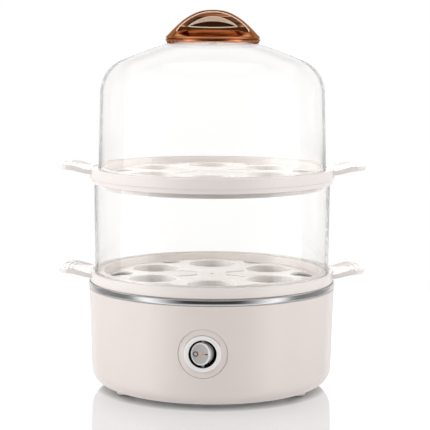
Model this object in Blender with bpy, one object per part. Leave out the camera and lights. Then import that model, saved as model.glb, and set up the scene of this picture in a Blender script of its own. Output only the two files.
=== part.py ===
"""Two-tier electric egg cooker.

A round heated base with a water pan carries two egg trays, each with two side tongues. A clear
ring holds the trays apart and a clear dome with a copper knob closes the stack. Everything is
turned about the vertical axis, +Z up, with the ground at zero. The switch faces -Y.
"""

import math

import bmesh
import bpy
from mathutils import Matrix, Vector

FULL_TURN = 2 * math.pi

# How finely round forms are divided
LARGE_STEPS = 40
MEDIUM_STEPS = 20
HOLE_STEPS = 16
SMALL_STEPS = 10
CORNER_STEPS = 3
NUT_SIDES = 6
LEAD_SIDES = 6
CORNER_REACH_SHARE = 0.48
SHARP_ANGLE = math.radians(35)
MERGE = 1e-7

# Clearance between pieces that touch, and how far a cutter or a joined piece runs on
GAP = 0.0003
OVERRUN = 0.002
SINK = 0.0006

# Egg tray, measured down from its lip
TRAY_RIM_MARGIN = 0.0052
TRAY_EDGE = 0.0007
FLANGE_DEPTH = 0.0068
FLANGE_WALL_STEP = 0.0013
SKIRT_DEPTH = 0.0100
SKIRT_WALL = 0.0010
CHANNEL_DEPTH = 0.0030
RING_DEPTH = 0.0134
RING_WALL = 0.0015
RING_TAPER = 0.0007
SEAT_DEPTH = 0.0010
LIP_WIDTH = 0.0017
INNER_RIM_WALL = 0.0013
FLOOR_DROP = 0.0032
FLOOR_FALL = 0.0018
PLATEAU_MARGIN = 0.0109
FLOOR_THICKNESS = 0.0016
FLOOR_CORNER = 0.0012

# Round holes that hold the eggs, and the steam openings between them
EGG_HOLES = 6
EGG_HOLE_SHARE = 0.2533
EGG_HOLE_TAPER = 0.0008
EGG_HOLE_MARGIN = 0.0012
COLLAR_WALL = 0.0014
COLLAR_DEPTH = 0.0068
VENT_SHARE = 0.1110
VENT_MARGIN = 0.0033
SLOT_WIDTH = 0.0028
SLOT_LENGTH = 0.0150
SLOT_PITCH_SHARE = 0.4157
SLOT_ANGLE = math.radians(30)
CENTRE_HOLE_RADIUS = 0.0013

# Side tongues by which a tray is lifted
TONGUE_REACH = 0.0205
TONGUE_HALF_WIDTH = 0.0195
TONGUE_THICKNESS = 0.0029
TONGUE_TIP_ROUND = 0.0085
TONGUE_ROUND_POWER = 2.6
TONGUE_ROOT_DROP = 0.0024
TONGUE_TIP_RISE = 0.0008
TONGUE_ROOT_SINK = 0.0012
TONGUE_STATIONS = 4
TONGUE_STRIPS = 8

# Clear tier wall between the trays
TIER_HEIGHT = 0.0662
TIER_WALL = 0.0020
TIER_DRAFT = 0.0005
TIER_BEAD = 0.0004
TIER_BEAD_HEIGHT = 0.0020
WALL_PLAY = 0.0005
RING_PLAY = 0.0013

# Clear dome
DOME_RIM_RADIUS = 0.0763
DOME_BEAD = 0.0005
DOME_BEAD_HEIGHT = 0.0022
DOME_WALL = 0.0019
DOME_DRAFT = 0.0022
DOME_HEIGHT = 0.0877
DOME_CROWN_RADIUS = 0.1300
DOME_SHOULDER_RADIUS = 0.0270
DOME_RIM_PLAY = 0.0005
DOME_SHOULDER_STEPS = 5
DOME_CROWN_STEPS = 3
DOME_SCREW_HOLE_RADIUS = 0.0025

# Knob, washer and screw
KNOB_RADIUS = 0.0314
KNOB_HEIGHT = 0.0209
KNOB_STEPS = 32
# Height and radius of the knob's turned form
KNOB_PROFILE_SHARES = (
    (0.000, 0.968),
    (0.055, 1.000),
    (0.125, 0.998),
    (0.165, 0.980),
    (0.240, 0.928),
    (0.380, 0.838),
    (0.530, 0.735),
    (0.685, 0.615),
    (0.830, 0.465),
    (0.935, 0.305),
    (0.985, 0.155),
    (1.000, 0.000),
)
# Height and reach of the grip's flank, where the front and the back are cut away
KNOB_FLANK_SHARES = (
    (0.150, 0.960),
    (0.190, 0.760),
    (0.250, 0.560),
    (0.340, 0.430),
    (0.460, 0.370),
    (0.620, 0.350),
    (0.800, 0.335),
    (1.100, 0.320),
)
KNOB_UNDERSIDE_SHARES = (0.25, 0.60, 0.90)
SCOOP_HALF_LENGTH = 0.0162
SCOOP_LOW_SHARE = 0.430
SCOOP_HEIGHT = 0.0070
SCOOP_SAG = 0.0008
SCOOP_WEB = 0.0040
SCOOP_STEPS = 10
KNOB_SCREW_RADIUS = 0.0017
KNOB_SCREW_HEAD_RADIUS = 0.0038
KNOB_SCREW_HEAD_HEIGHT = 0.0022
KNOB_SCREW_REACH = 0.0036
WASHER_RADIUS = 0.0070
WASHER_THICKNESS = 0.0012

# Base housing
HOUSING_TOP = 0.0677
HOUSING_SET_BACK = 0.0003
HOUSING_SIDE_DRAFT = 0.0019
HOUSING_CORNER = 0.0160
HOUSING_BOTTOM = 0.0027
HOUSING_WALL = 0.0024
HOUSING_SHOULDER_EDGE = 0.0005
NECK_WALL = 0.0009
SKIRT_PLAY = 0.0004
LEDGE_THICKNESS = 0.0024
COVER_LEDGE_WIDTH = 0.0038
COVER_LEDGE_THICKNESS = 0.0020

# Bright trim band
TRIM_HEIGHT = 0.0041
TRIM_WALL = 0.0007
TRIM_BULGE = 0.0005

# Water pan and its seal
PAN_SHEET = 0.0008
PAN_FLOOR_BELOW_RIM = 0.0229
PAN_CORNER = 0.0090
PAN_FLANGE_MARGIN = 0.0004
PAN_RING_PLAY = 0.0005
PAN_LEDGE_PLAY = 0.0005
SEAL_THICKNESS = 0.0009

# Heater under the pan
HEATER_PLATE_RADIUS = 0.0360
HEATER_PLATE_THICKNESS = 0.0030
ELEMENT_LENGTH = 0.0420
ELEMENT_WIDTH = 0.0160
ELEMENT_HEIGHT = 0.0040
STRAP_THICKNESS = 0.0010
STRAP_WIDTH = 0.0090
STRAP_FOOT = 0.0080
STUD_RADIUS = 0.0015
STUD_CLEARANCE = 0.0003
STUD_TAIL = 0.0010
STUD_SINK = 0.0003
NUT_RADIUS = 0.0031
NUT_HEIGHT = 0.0024
THERMOSTAT_RADIUS = 0.0070
THERMOSTAT_HEIGHT = 0.0060
THERMOSTAT_PITCH_RADIUS = 0.0470
THERMOSTAT_BLADE = 0.0030
THERMOSTAT_BLADE_PITCH = 0.0100
FUSE_RADIUS = 0.0020
FUSE_LENGTH = 0.0110
FUSE_SETBACK = 0.0220
FUSE_END_RADIUS = 0.0009
FUSE_END_LENGTH = 0.0012

# Bottom cover, feet and cover screws
COVER_INSET = 0.0233
COVER_THICKNESS = 0.0022
COVER_RIB_HEIGHT = 0.0018
COVER_RIB_WIDTH = 0.0016
SCREW_INSET = 0.0100
SCREW_SHANK_RADIUS = 0.0016
SCREW_HEAD_RADIUS = 0.0035
SCREW_HEAD_HEIGHT = 0.0020
SCREW_LENGTH = 0.0100
SCREW_CUP_WALL = 0.0010
SCREW_CUP_DEPTH = 0.0024
SCREW_CUP_RISE = 0.0021
BOSS_RADIUS = 0.0042
BOSS_HEIGHT = 0.0130
BOSS_RIB_THICKNESS = 0.0016
BOSS_RIB_REACH = 0.0030
FEET = 3
FOOT_INSET = 0.0158
FOOT_RADIUS = 0.0065
FOOT_TIP_RADIUS = 0.0062
FOOT_CLEAR = 0.0009
FOOT_STUB_SINK = 0.0022
PAD_RADIUS = 0.0050
PAD_THICKNESS = 0.0016

# Rocker switch, its distances measured outwards from the axis of the base
SWITCH_HEIGHT = 0.0374
SWITCH_TURN = math.radians(-3.75)
PLATE_RADIUS = 0.0155
PLATE_THICKNESS = 0.0039
SEAT_WALL = 0.0018
SEAT_LIP = 0.0028
BEZEL_RADIUS = 0.0117
BEZEL_SET_BACK = 0.0009
BEZEL_HEIGHT = 0.0016
BEZEL_EDGE = 0.0008
CASE_RADIUS = 0.0100
CASE_WALL = 0.0011
CASE_DEPTH = 0.0130
CASE_BACK = 0.0016
ROCKER_HALF_WIDTH = 0.0069
ROCKER_HALF_HEIGHT = 0.0072
ROCKER_ROUND_RADIUS = 0.0073
ROCKER_PIVOT_DEPTH = 0.0045
ROCKER_FACE_RISE = 0.0038
ROCKER_FACE_HOLLOW = 0.0006
ROCKER_SHOULDER_DEPTH = 0.0008
ROCKER_HEEL_DEPTH = 0.0036
ROCKER_HEEL_HALF_WIDTH = 0.0026
ROCKER_ANGLE = math.radians(10)
PIVOT_PIN_RADIUS = 0.0010
PIVOT_CLEARANCE = 0.0003
PIVOT_PIN_BITE = 0.0006
WINDOW_RADIUS = 0.0010
WINDOW_DEPTH = 0.0008
BLADE_WIDTH = 0.0048
BLADE_THICKNESS = 0.0008
BLADE_LENGTH = 0.0080
BLADES = 3
BLADE_PITCH = 0.0050

# Cable gland in the rear wall, and the terminal block behind it
GLAND_HEIGHT = 0.0300
GLAND_BORE_RADIUS = 0.0036
GLAND_RADIUS = 0.0056
GLAND_FLANGE_RADIUS = 0.0076
GLAND_LIP = 0.0008
GLAND_TAIL = 0.0026
GLAND_EDGE = 0.0005
BLOCK_LENGTH = 0.0260
BLOCK_WIDTH = 0.0120
BLOCK_HEIGHT = 0.0110
BLOCK_INSET = 0.0170
BLOCK_BORE_RADIUS = 0.0016
BLOCK_BORE_PITCH = 0.0120

# Internal leads
LEAD_RADIUS = 0.0010
LEAD_POINTS = 11
LEAD_RUN = 0.0240
LEAD_SHORT_SHARE = 0.33
LEAD_HALF_SHARE = 0.50
LEAD_WIDE_SHARE = 0.75
LEAD_LONG_SHARE = 2.0

# Heights and radii that follow from the sizes above
TRAY_RADIUS = DOME_RIM_RADIUS + TRAY_RIM_MARGIN
TONGUE_TIP_RADIUS = TRAY_RADIUS + TONGUE_REACH
TRIM_LOW = HOUSING_TOP + GAP
TRIM_TOP = TRIM_LOW + TRIM_HEIGHT
LOWER_LIP = TRIM_TOP + GAP + FLANGE_DEPTH
SKIRT_OUTER = TRAY_RADIUS - FLANGE_WALL_STEP
SKIRT_INNER = SKIRT_OUTER - SKIRT_WALL
TIER_TOP_RADIUS = SKIRT_INNER - WALL_PLAY
TIER_LOW_RADIUS = TIER_TOP_RADIUS - TIER_DRAFT
TIER_LOW = LOWER_LIP - SEAT_DEPTH + GAP
TIER_TOP = TIER_LOW + TIER_HEIGHT
UPPER_LIP = TIER_TOP + GAP + CHANNEL_DEPTH
RING_OUTER = TIER_TOP_RADIUS - TIER_WALL - RING_PLAY
RING_LOW_OUTER = RING_OUTER - RING_TAPER
DOME_RIM_INNER = DOME_RIM_RADIUS - DOME_BEAD - DOME_WALL
INNER_RIM_OUTER = DOME_RIM_INNER - DOME_RIM_PLAY
INNER_RIM_INNER = INNER_RIM_OUTER - INNER_RIM_WALL
PLATEAU_RADIUS = INNER_RIM_INNER - PLATEAU_MARGIN
EGG_HOLE_RADIUS = PLATEAU_RADIUS * EGG_HOLE_SHARE
EGG_PITCH_RADIUS = PLATEAU_RADIUS - EGG_HOLE_MARGIN - EGG_HOLE_RADIUS
VENT_RADIUS = INNER_RIM_INNER * VENT_SHARE
VENT_PITCH_RADIUS = INNER_RIM_INNER - VENT_MARGIN - VENT_RADIUS
SLOT_PITCH_RADIUS = EGG_PITCH_RADIUS * SLOT_PITCH_SHARE
DOME_LOW = UPPER_LIP - SEAT_DEPTH + GAP
DOME_APEX = DOME_LOW + DOME_HEIGHT
NECK_INNER = SKIRT_OUTER + SKIRT_PLAY
NECK_OUTER = NECK_INNER + NECK_WALL
NECK_TOP = TRIM_TOP - GAP
TRIM_INNER = NECK_OUTER + GAP
TRIM_OUTER = TRIM_INNER + TRIM_WALL
HOUSING_RADIUS = TRIM_OUTER - HOUSING_SET_BACK
HOUSING_LOW_RADIUS = HOUSING_RADIUS - HOUSING_SIDE_DRAFT
COVER_RADIUS = HOUSING_LOW_RADIUS - COVER_INSET
SCREW_PITCH_RADIUS = COVER_RADIUS - SCREW_INSET
FOOT_PITCH_RADIUS = HOUSING_LOW_RADIUS - FOOT_INSET
BLOCK_SETBACK = SCREW_PITCH_RADIUS - BLOCK_INSET
PAN_RIM_TOP = LOWER_LIP - CHANNEL_DEPTH - GAP
PAN_RIM_INNER = RING_OUTER + PAN_RING_PLAY
PAN_RIM_OUTER = SKIRT_INNER - WALL_PLAY
PAN_FLANGE_TOP = LOWER_LIP - SKIRT_DEPTH - GAP
PAN_FLANGE_LOW = PAN_FLANGE_TOP - PAN_SHEET
PAN_FLANGE_OUTER = NECK_INNER - PAN_FLANGE_MARGIN
PAN_FLOOR_TOP = PAN_RIM_TOP - PAN_FLOOR_BELOW_RIM
PAN_FLOOR_LOW = PAN_FLOOR_TOP - PAN_SHEET
SEAL_TOP = PAN_FLANGE_LOW - GAP
SEAL_LOW = SEAL_TOP - SEAL_THICKNESS
LEDGE_TOP = SEAL_LOW - GAP
LEDGE_INNER = PAN_RIM_INNER + PAN_SHEET + PAN_LEDGE_PLAY
HEATER_TOP = PAN_FLOOR_LOW - GAP
HEATER_LOW = HEATER_TOP - HEATER_PLATE_THICKNESS
ELEMENT_TOP = HEATER_LOW - GAP
ELEMENT_LOW = ELEMENT_TOP - ELEMENT_HEIGHT
THERMOSTAT_LOW = HEATER_TOP - THERMOSTAT_HEIGHT
HEATER_STUD_LOW = HEATER_LOW - GAP - STRAP_THICKNESS - GAP - NUT_HEIGHT - STUD_TAIL
THERMOSTAT_STUD_LOW = HEATER_TOP - STRAP_THICKNESS - GAP - NUT_HEIGHT - STUD_TAIL
COVER_OPENING = COVER_RADIUS + GAP
COVER_TOP = HOUSING_BOTTOM + COVER_THICKNESS
COVER_LEDGE_LOW = COVER_TOP + GAP
SCREW_CUP_RADIUS = SCREW_HEAD_RADIUS + GAP + SCREW_CUP_WALL
SCREW_CUP_TOP = COVER_TOP + SCREW_CUP_RISE
SCREW_SEAT = HOUSING_BOTTOM + SCREW_CUP_DEPTH
BOSS_LOW = SCREW_CUP_TOP + GAP
KNOB_LOW_SPHERE = DOME_APEX - DOME_CROWN_RADIUS
SWITCH_SIDE = HOUSING_LOW_RADIUS + HOUSING_SIDE_DRAFT * (SWITCH_HEIGHT - HOUSING_BOTTOM) / (
    HOUSING_TOP - HOUSING_BOTTOM
)
PLATE_BACK = SWITCH_SIDE - PLATE_THICKNESS
BEZEL_BACK = SWITCH_SIDE - BEZEL_SET_BACK + GAP
BEZEL_FACE = BEZEL_BACK + BEZEL_HEIGHT
CASE_REAR = BEZEL_FACE - CASE_DEPTH
PIVOT_OUT = BEZEL_FACE - ROCKER_PIVOT_DEPTH
ROCKER_TOP = ROCKER_FACE_RISE + ROCKER_FACE_HOLLOW
ROCKER_REACH = (
    PIVOT_OUT + ROCKER_TOP * math.cos(ROCKER_ANGLE) + ROCKER_HALF_WIDTH * math.sin(ROCKER_ANGLE)
)
ROCKER_SIDE = ROCKER_HALF_WIDTH * math.cos(ROCKER_ANGLE) - ROCKER_TOP * math.sin(ROCKER_ANGLE)
GLAND_FACE = ROCKER_REACH * math.cos(SWITCH_TURN) - ROCKER_SIDE * math.sin(SWITCH_TURN)


def clear_scene():
    for item in list(bpy.data.objects):
        bpy.data.objects.remove(item)


def finish(name, colour, roughness, metallic=0.0, alpha=1.0):
    made = bpy.data.materials.new(name)
    made.use_nodes = True
    shader = made.node_tree.nodes["Principled BSDF"]
    shader.inputs["Base Color"].default_value = (*colour, 1.0)
    shader.inputs["Roughness"].default_value = roughness
    shader.inputs["Metallic"].default_value = metallic
    shader.inputs["Alpha"].default_value = alpha
    return made


def part(name, mesh, material):
    """A named object at the origin, made of one mesh and one material."""
    data = bpy.data.meshes.new(name)
    mesh.to_mesh(data)
    mesh.free()
    data.materials.append(material)
    data.shade_smooth()
    data.set_sharp_from_angle(angle=SHARP_ANGLE)
    made = bpy.data.objects.new(name, data)
    bpy.context.scene.collection.objects.link(made)
    return made


def helper(name, mesh, owner):
    """A hidden cutting or joining shape that moves with its owner."""
    data = bpy.data.meshes.new(name)
    mesh.to_mesh(data)
    mesh.free()
    made = bpy.data.objects.new(name, data)
    bpy.context.scene.collection.objects.link(made)
    made.hide_render = True
    made.display_type = "WIRE"
    made.parent = owner
    return made


def combine(target, mesh, operation, seat=None):
    """Joins a shape to the target or cuts it away."""
    tool = helper(f"{target.name}_{operation.lower()}_{len(target.modifiers)}", mesh, seat or target)
    modifier = target.modifiers.new(tool.name, "BOOLEAN")
    modifier.operation = operation
    modifier.object = tool
    modifier.solver = "EXACT"
    return tool


def empty(name, location, rotation=(0, 0, 0)):
    made = bpy.data.objects.new(name, None)
    bpy.context.scene.collection.objects.link(made)
    made.location = location
    made.rotation_euler = rotation
    return made


def radial_seat(name, height, turn):
    """An empty whose +Z points out of the base at a height, with its +Y up."""
    return empty(name, (0, 0, height), (math.pi / 2, 0, turn))


def gathered(meshes):
    """One mesh that holds several separate shapes."""
    whole = bmesh.new()
    for mesh in meshes:
        data = bpy.data.meshes.new("gathered")
        mesh.to_mesh(data)
        mesh.free()
        whole.from_mesh(data)
        bpy.data.meshes.remove(data)
    return whole


def moved(mesh, place=(0, 0, 0), turn=0, axis="Z"):
    """The same mesh turned about an axis of the origin and then moved."""
    matrix = Matrix.Translation(place) @ Matrix.Rotation(turn, 4, axis)
    bmesh.ops.transform(mesh, matrix=matrix, verts=mesh.verts)
    return mesh


def polar(radius, angle, height=0):
    return (radius * math.cos(angle), radius * math.sin(angle), height)


def rounded(corners, steps=CORNER_STEPS):
    """A closed outline whose corners (x, y, radius) become arcs tangent to their sides."""
    points = []
    for index, (x, y, radius) in enumerate(corners):
        here = Vector((x, y))
        if radius == 0:
            points.append((x, y))
            continue
        back = Vector(corners[index - 1][:2]) - here
        ahead = Vector(corners[(index + 1) % len(corners)][:2]) - here
        half = back.angle(ahead) / 2
        reach = min(radius / math.tan(half), CORNER_REACH_SHARE * min(back.length, ahead.length))
        bend = reach * math.tan(half)
        centre = here + (back.normalized() + ahead.normalized()).normalized() * reach / math.cos(half)
        start = here + back.normalized() * reach - centre
        end = here + ahead.normalized() * reach - centre
        first = math.atan2(start.y, start.x)
        sweep = math.remainder(math.atan2(end.y, end.x) - first, FULL_TURN)
        for step in range(steps + 1):
            angle = first + sweep * step / steps
            points.append((centre.x + bend * math.cos(angle), centre.y + bend * math.sin(angle)))
    return points


def beside(line, distance):
    """An open line moved sideways to its right, its corners mitred."""
    result = []
    for index, point in enumerate(line):
        here = Vector(point)
        before = here - Vector(line[max(index - 1, 0)])
        after = Vector(line[min(index + 1, len(line) - 1)]) - here
        if index == 0:
            before = after
        if index == len(line) - 1:
            after = before
        normals = [Vector((side.y, -side.x)).normalized() for side in (before, after)]
        mitre = (normals[0] + normals[1]).normalized()
        result.append(tuple(here + mitre * distance / mitre.dot(normals[0])))
    return result


def turned(profile, steps):
    """A solid turned about the Z axis from (radius, height) points, its flat ends in one face."""
    points = list(profile)
    closed = points[0][0] > 0 and points[-1][0] > 0
    if points[0][0] == 0 and points[0][1] == points[1][1]:
        points.pop(0)
    if points[-1][0] == 0 and points[-1][1] == points[-2][1]:
        points.pop()
    mesh = bmesh.new()
    corners = [mesh.verts.new((radius, 0, height)) for radius, height in points]
    pairs = list(zip(corners, corners[1:]))
    if closed:
        pairs.append((corners[-1], corners[0]))
    geometry = corners + [mesh.edges.new(pair) for pair in pairs]
    bmesh.ops.spin(
        mesh, geom=geometry, axis=(0, 0, 1), cent=(0, 0, 0), angle=FULL_TURN, steps=steps, use_merge=True
    )
    bmesh.ops.remove_doubles(mesh, verts=mesh.verts, dist=MERGE)
    open_edges = [edge for edge in mesh.edges if len(edge.link_faces) == 1]
    bmesh.ops.holes_fill(mesh, edges=open_edges, sides=0)
    bmesh.ops.recalc_face_normals(mesh, faces=mesh.faces)
    return mesh


def rod(radius, low, high, steps=SMALL_STEPS, top_radius=None):
    top = radius if top_radius is None else top_radius
    return turned([(0, high), (top, high), (radius, low), (0, low)], steps)


def pipe(outer, inner, low, high, steps=MEDIUM_STEPS):
    return turned([(outer, high), (outer, low), (inner, low), (inner, high)], steps)


def prism(outline, low, high):
    """A closed outline in X and Y, raised from one height to another."""
    mesh = bmesh.new()
    face = mesh.faces.new([mesh.verts.new((x, y, low)) for x, y in outline])
    made = bmesh.ops.extrude_face_region(mesh, geom=[face])
    top = [item for item in made["geom"] if isinstance(item, bmesh.types.BMVert)]
    bmesh.ops.translate(mesh, vec=(0, 0, high - low), verts=top)
    bmesh.ops.recalc_face_normals(mesh, faces=mesh.faces)
    return mesh


def block(length, width, low, high):
    half_x, half_y = length / 2, width / 2
    return prism([(-half_x, -half_y), (half_x, -half_y), (half_x, half_y), (-half_x, half_y)], low, high)


def lofted(loops):
    """A closed skin over loops of equally many points, capped at both ends."""
    mesh = bmesh.new()
    rings = [[mesh.verts.new(point) for point in loop] for loop in loops]
    count = len(rings[0])
    for low, high in zip(rings, rings[1:]):
        for index in range(count):
            after = (index + 1) % count
            mesh.faces.new((low[index], low[after], high[after], high[index]))
    mesh.faces.new(rings[0])
    mesh.faces.new(rings[-1])
    bmesh.ops.recalc_face_normals(mesh, faces=mesh.faces)
    return mesh


def dome_crown_height(radius):
    """Height of the dome's outer face near its middle."""
    return KNOB_LOW_SPHERE + math.sqrt(DOME_CROWN_RADIUS**2 - radius**2)


def dome_line(inset):
    """Half section of the dome from its top hole down to its rim, moved in by an inset."""
    wall_radius = DOME_RIM_RADIUS - DOME_BEAD - DOME_DRAFT
    crown = DOME_CROWN_RADIUS - inset
    shoulder = DOME_SHOULDER_RADIUS - inset
    reach = DOME_CROWN_RADIUS - DOME_SHOULDER_RADIUS
    shoulder_centre = wall_radius - DOME_SHOULDER_RADIUS
    lean = math.asin(shoulder_centre / reach)
    centre_height = KNOB_LOW_SPHERE + reach * math.cos(lean)
    first = math.asin(DOME_SCREW_HOLE_RADIUS / crown)
    line = []
    for step in range(DOME_CROWN_STEPS):
        angle = first + (lean - first) * step / DOME_CROWN_STEPS
        line.append((crown * math.sin(angle), KNOB_LOW_SPHERE + crown * math.cos(angle)))
    for step in range(DOME_SHOULDER_STEPS + 1):
        angle = lean + (math.pi / 2 - lean) * step / DOME_SHOULDER_STEPS
        across = shoulder_centre + shoulder * math.sin(angle)
        line.append((across, centre_height + shoulder * math.cos(angle)))
    return line


def make_dome(material):
    outer = dome_line(0)
    inner = dome_line(DOME_WALL)
    wall_foot = DOME_RIM_RADIUS - DOME_BEAD
    bead_top = DOME_LOW + DOME_BEAD_HEIGHT
    rim = [
        (wall_foot, bead_top),
        (DOME_RIM_RADIUS, bead_top - DOME_BEAD),
        (DOME_RIM_RADIUS, DOME_LOW),
        (DOME_RIM_INNER, DOME_LOW),
    ]
    return part("lid_dome", turned(outer + rim + inner[::-1], LARGE_STEPS), material)


def knob_flank(rim_low, side):
    """A cutter that takes the front or the back of the knob away, down to its round foot."""
    far = KNOB_RADIUS + OVERRUN
    line = []
    for height, reach in KNOB_FLANK_SHARES:
        line.append((side * KNOB_RADIUS * reach, rim_low + KNOB_HEIGHT * height))
    outline = line + [(side * far, line[-1][1]), (side * far, line[0][1])]
    standing = moved(prism(outline, -far, far), turn=math.pi / 2, axis="X")
    return moved(standing, turn=math.pi / 2)


def scoop_outline():
    """The crescent of a finger recess: a high arch over a shallow sagging floor."""
    upper = []
    lower = []
    for step in range(SCOOP_STEPS + 1):
        share = 2 * step / SCOOP_STEPS - 1
        bow = 1 - share * share
        upper.append((share * SCOOP_HALF_LENGTH, SCOOP_HEIGHT * bow))
        lower.append((share * SCOOP_HALF_LENGTH, -SCOOP_SAG * bow))
    return upper + lower[-2:0:-1]


def make_knob(material):
    rim_low = dome_crown_height(KNOB_RADIUS) + GAP
    profile = [(0, DOME_APEX + GAP)]
    for share in KNOB_UNDERSIDE_SHARES:
        radius = share * KNOB_RADIUS
        profile.append((radius, dome_crown_height(radius) + GAP))
    for height, radius in KNOB_PROFILE_SHARES:
        profile.append((KNOB_RADIUS * radius, rim_low + KNOB_HEIGHT * height))
    knob = part("lid_knob", turned(profile, KNOB_STEPS), material)
    for side in (-1, 1):
        combine(knob, knob_flank(rim_low, side), "DIFFERENCE")
    floor = rim_low + SCOOP_LOW_SHARE * KNOB_HEIGHT
    for side in (-1, 1):
        near = side * (SCOOP_WEB / 2)
        far = side * KNOB_RADIUS
        low, high = min(near, far), max(near, far)
        cutter = moved(prism(scoop_outline(), -high, -low), (0, 0, floor), math.pi / 2, "X")
        combine(knob, cutter, "DIFFERENCE")
    hole = rod(KNOB_SCREW_RADIUS + GAP, DOME_APEX - OVERRUN, DOME_APEX + KNOB_SCREW_REACH + GAP)
    combine(knob, hole, "DIFFERENCE")
    return knob


def make_knob_fixings(steel, rubber):
    under = dome_crown_height(0) - DOME_WALL
    washer_top = under - GAP - (DOME_CROWN_RADIUS - math.sqrt(DOME_CROWN_RADIUS**2 - WASHER_RADIUS**2))
    washer_low = washer_top - WASHER_THICKNESS
    bore = KNOB_SCREW_RADIUS + GAP
    part("knob_washer", pipe(WASHER_RADIUS, bore, washer_low, washer_top), rubber)
    head_top = washer_low - GAP
    head_low = head_top - KNOB_SCREW_HEAD_HEIGHT
    tip = DOME_APEX + KNOB_SCREW_REACH
    profile = [
        (0, tip),
        (KNOB_SCREW_RADIUS, tip),
        (KNOB_SCREW_RADIUS, head_top),
        (KNOB_SCREW_HEAD_RADIUS, head_top),
        (KNOB_SCREW_HEAD_RADIUS, head_low),
        (0, head_low),
    ]
    part("knob_screw", turned(profile, SMALL_STEPS), steel)


def tray_profile():
    """Half section of a tray from its middle, with its lip at height zero."""
    floor_edge = -FLOOR_DROP - FLOOR_FALL
    ring_inner = RING_LOW_OUTER - RING_WALL
    top = [
        (0, -FLOOR_DROP),
        (PLATEAU_RADIUS, -FLOOR_DROP),
        (INNER_RIM_INNER - FLOOR_CORNER, floor_edge),
        (INNER_RIM_INNER, floor_edge + FLOOR_CORNER),
        (INNER_RIM_INNER, 0),
        (INNER_RIM_OUTER, 0),
        (INNER_RIM_OUTER, -SEAT_DEPTH),
        (TRAY_RADIUS - LIP_WIDTH, -SEAT_DEPTH),
        (TRAY_RADIUS - LIP_WIDTH, 0),
        (TRAY_RADIUS - TRAY_EDGE, 0),
        (TRAY_RADIUS, -TRAY_EDGE),
    ]
    under = [
        (TRAY_RADIUS, -FLANGE_DEPTH),
        (SKIRT_OUTER, -FLANGE_DEPTH),
        (SKIRT_OUTER, -SKIRT_DEPTH),
        (SKIRT_INNER, -SKIRT_DEPTH),
        (SKIRT_INNER, -CHANNEL_DEPTH),
        (RING_OUTER, -CHANNEL_DEPTH),
        (RING_LOW_OUTER, -RING_DEPTH),
        (ring_inner, -RING_DEPTH),
        (ring_inner, floor_edge - FLOOR_THICKNESS),
        (PLATEAU_RADIUS, -FLOOR_DROP - FLOOR_THICKNESS),
        (0, -FLOOR_DROP - FLOOR_THICKNESS),
    ]
    return top + under


def around(count, start=0.0):
    return [start + FULL_TURN * index / count for index in range(count)]


def collars():
    """The tubes under the egg holes, their tops sunk into the floor."""
    tubes = []
    top = -FLOOR_DROP - FLOOR_THICKNESS / 2
    outer = EGG_HOLE_RADIUS + COLLAR_WALL
    for angle in around(EGG_HOLES, -math.pi / 2):
        tube = rod(outer - EGG_HOLE_TAPER, top - COLLAR_DEPTH, top, HOLE_STEPS, outer)
        tubes.append(moved(tube, polar(EGG_PITCH_RADIUS, angle)))
    return gathered(tubes)


def floor_openings():
    """Cutters for the egg holes, the steam vents, the slots and the centre hole."""
    cutters = []
    low = -FLOOR_DROP - FLOOR_FALL - COLLAR_DEPTH - OVERRUN
    high = 0
    for angle in around(EGG_HOLES, -math.pi / 2):
        hole = rod(EGG_HOLE_RADIUS - EGG_HOLE_TAPER, low, high, HOLE_STEPS, EGG_HOLE_RADIUS)
        cutters.append(moved(hole, polar(EGG_PITCH_RADIUS, angle)))
    for angle in around(EGG_HOLES):
        cutters.append(moved(rod(VENT_RADIUS, low, high, SMALL_STEPS), polar(VENT_PITCH_RADIUS, angle)))
    corner = SLOT_WIDTH / 2
    half = SLOT_LENGTH / 2
    outline = [
        (-half, -corner, corner),
        (half, -corner, corner),
        (half, corner, corner),
        (-half, corner, corner),
    ]
    for angle in (SLOT_ANGLE, math.pi - SLOT_ANGLE, math.pi + SLOT_ANGLE, -SLOT_ANGLE):
        slot = moved(prism(rounded(outline, CORNER_STEPS - 1), low, high), (SLOT_PITCH_RADIUS, 0, 0))
        cutters.append(moved(slot, turn=angle))
    cutters.append(rod(CENTRE_HOLE_RADIUS, low, high, SMALL_STEPS))
    return gathered(cutters)


def tongue_point(along, across):
    """A point of the tongue's middle surface; along runs to the tip, across from side to side."""
    side = across * TONGUE_HALF_WIDTH
    root = math.sqrt((TRAY_RADIUS - TONGUE_ROOT_SINK) ** 2 - side**2)
    rounding = 1 - (1 - abs(across) ** TONGUE_ROUND_POWER) ** (1 / TONGUE_ROUND_POWER)
    tip = TONGUE_TIP_RADIUS - TONGUE_TIP_ROUND * rounding
    ease = along * along * (3 - 2 * along)
    height = TONGUE_TIP_RISE * ease - TONGUE_ROOT_DROP * (1 - ease)
    return Vector((root + (tip - root) * along, side, height))


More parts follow.
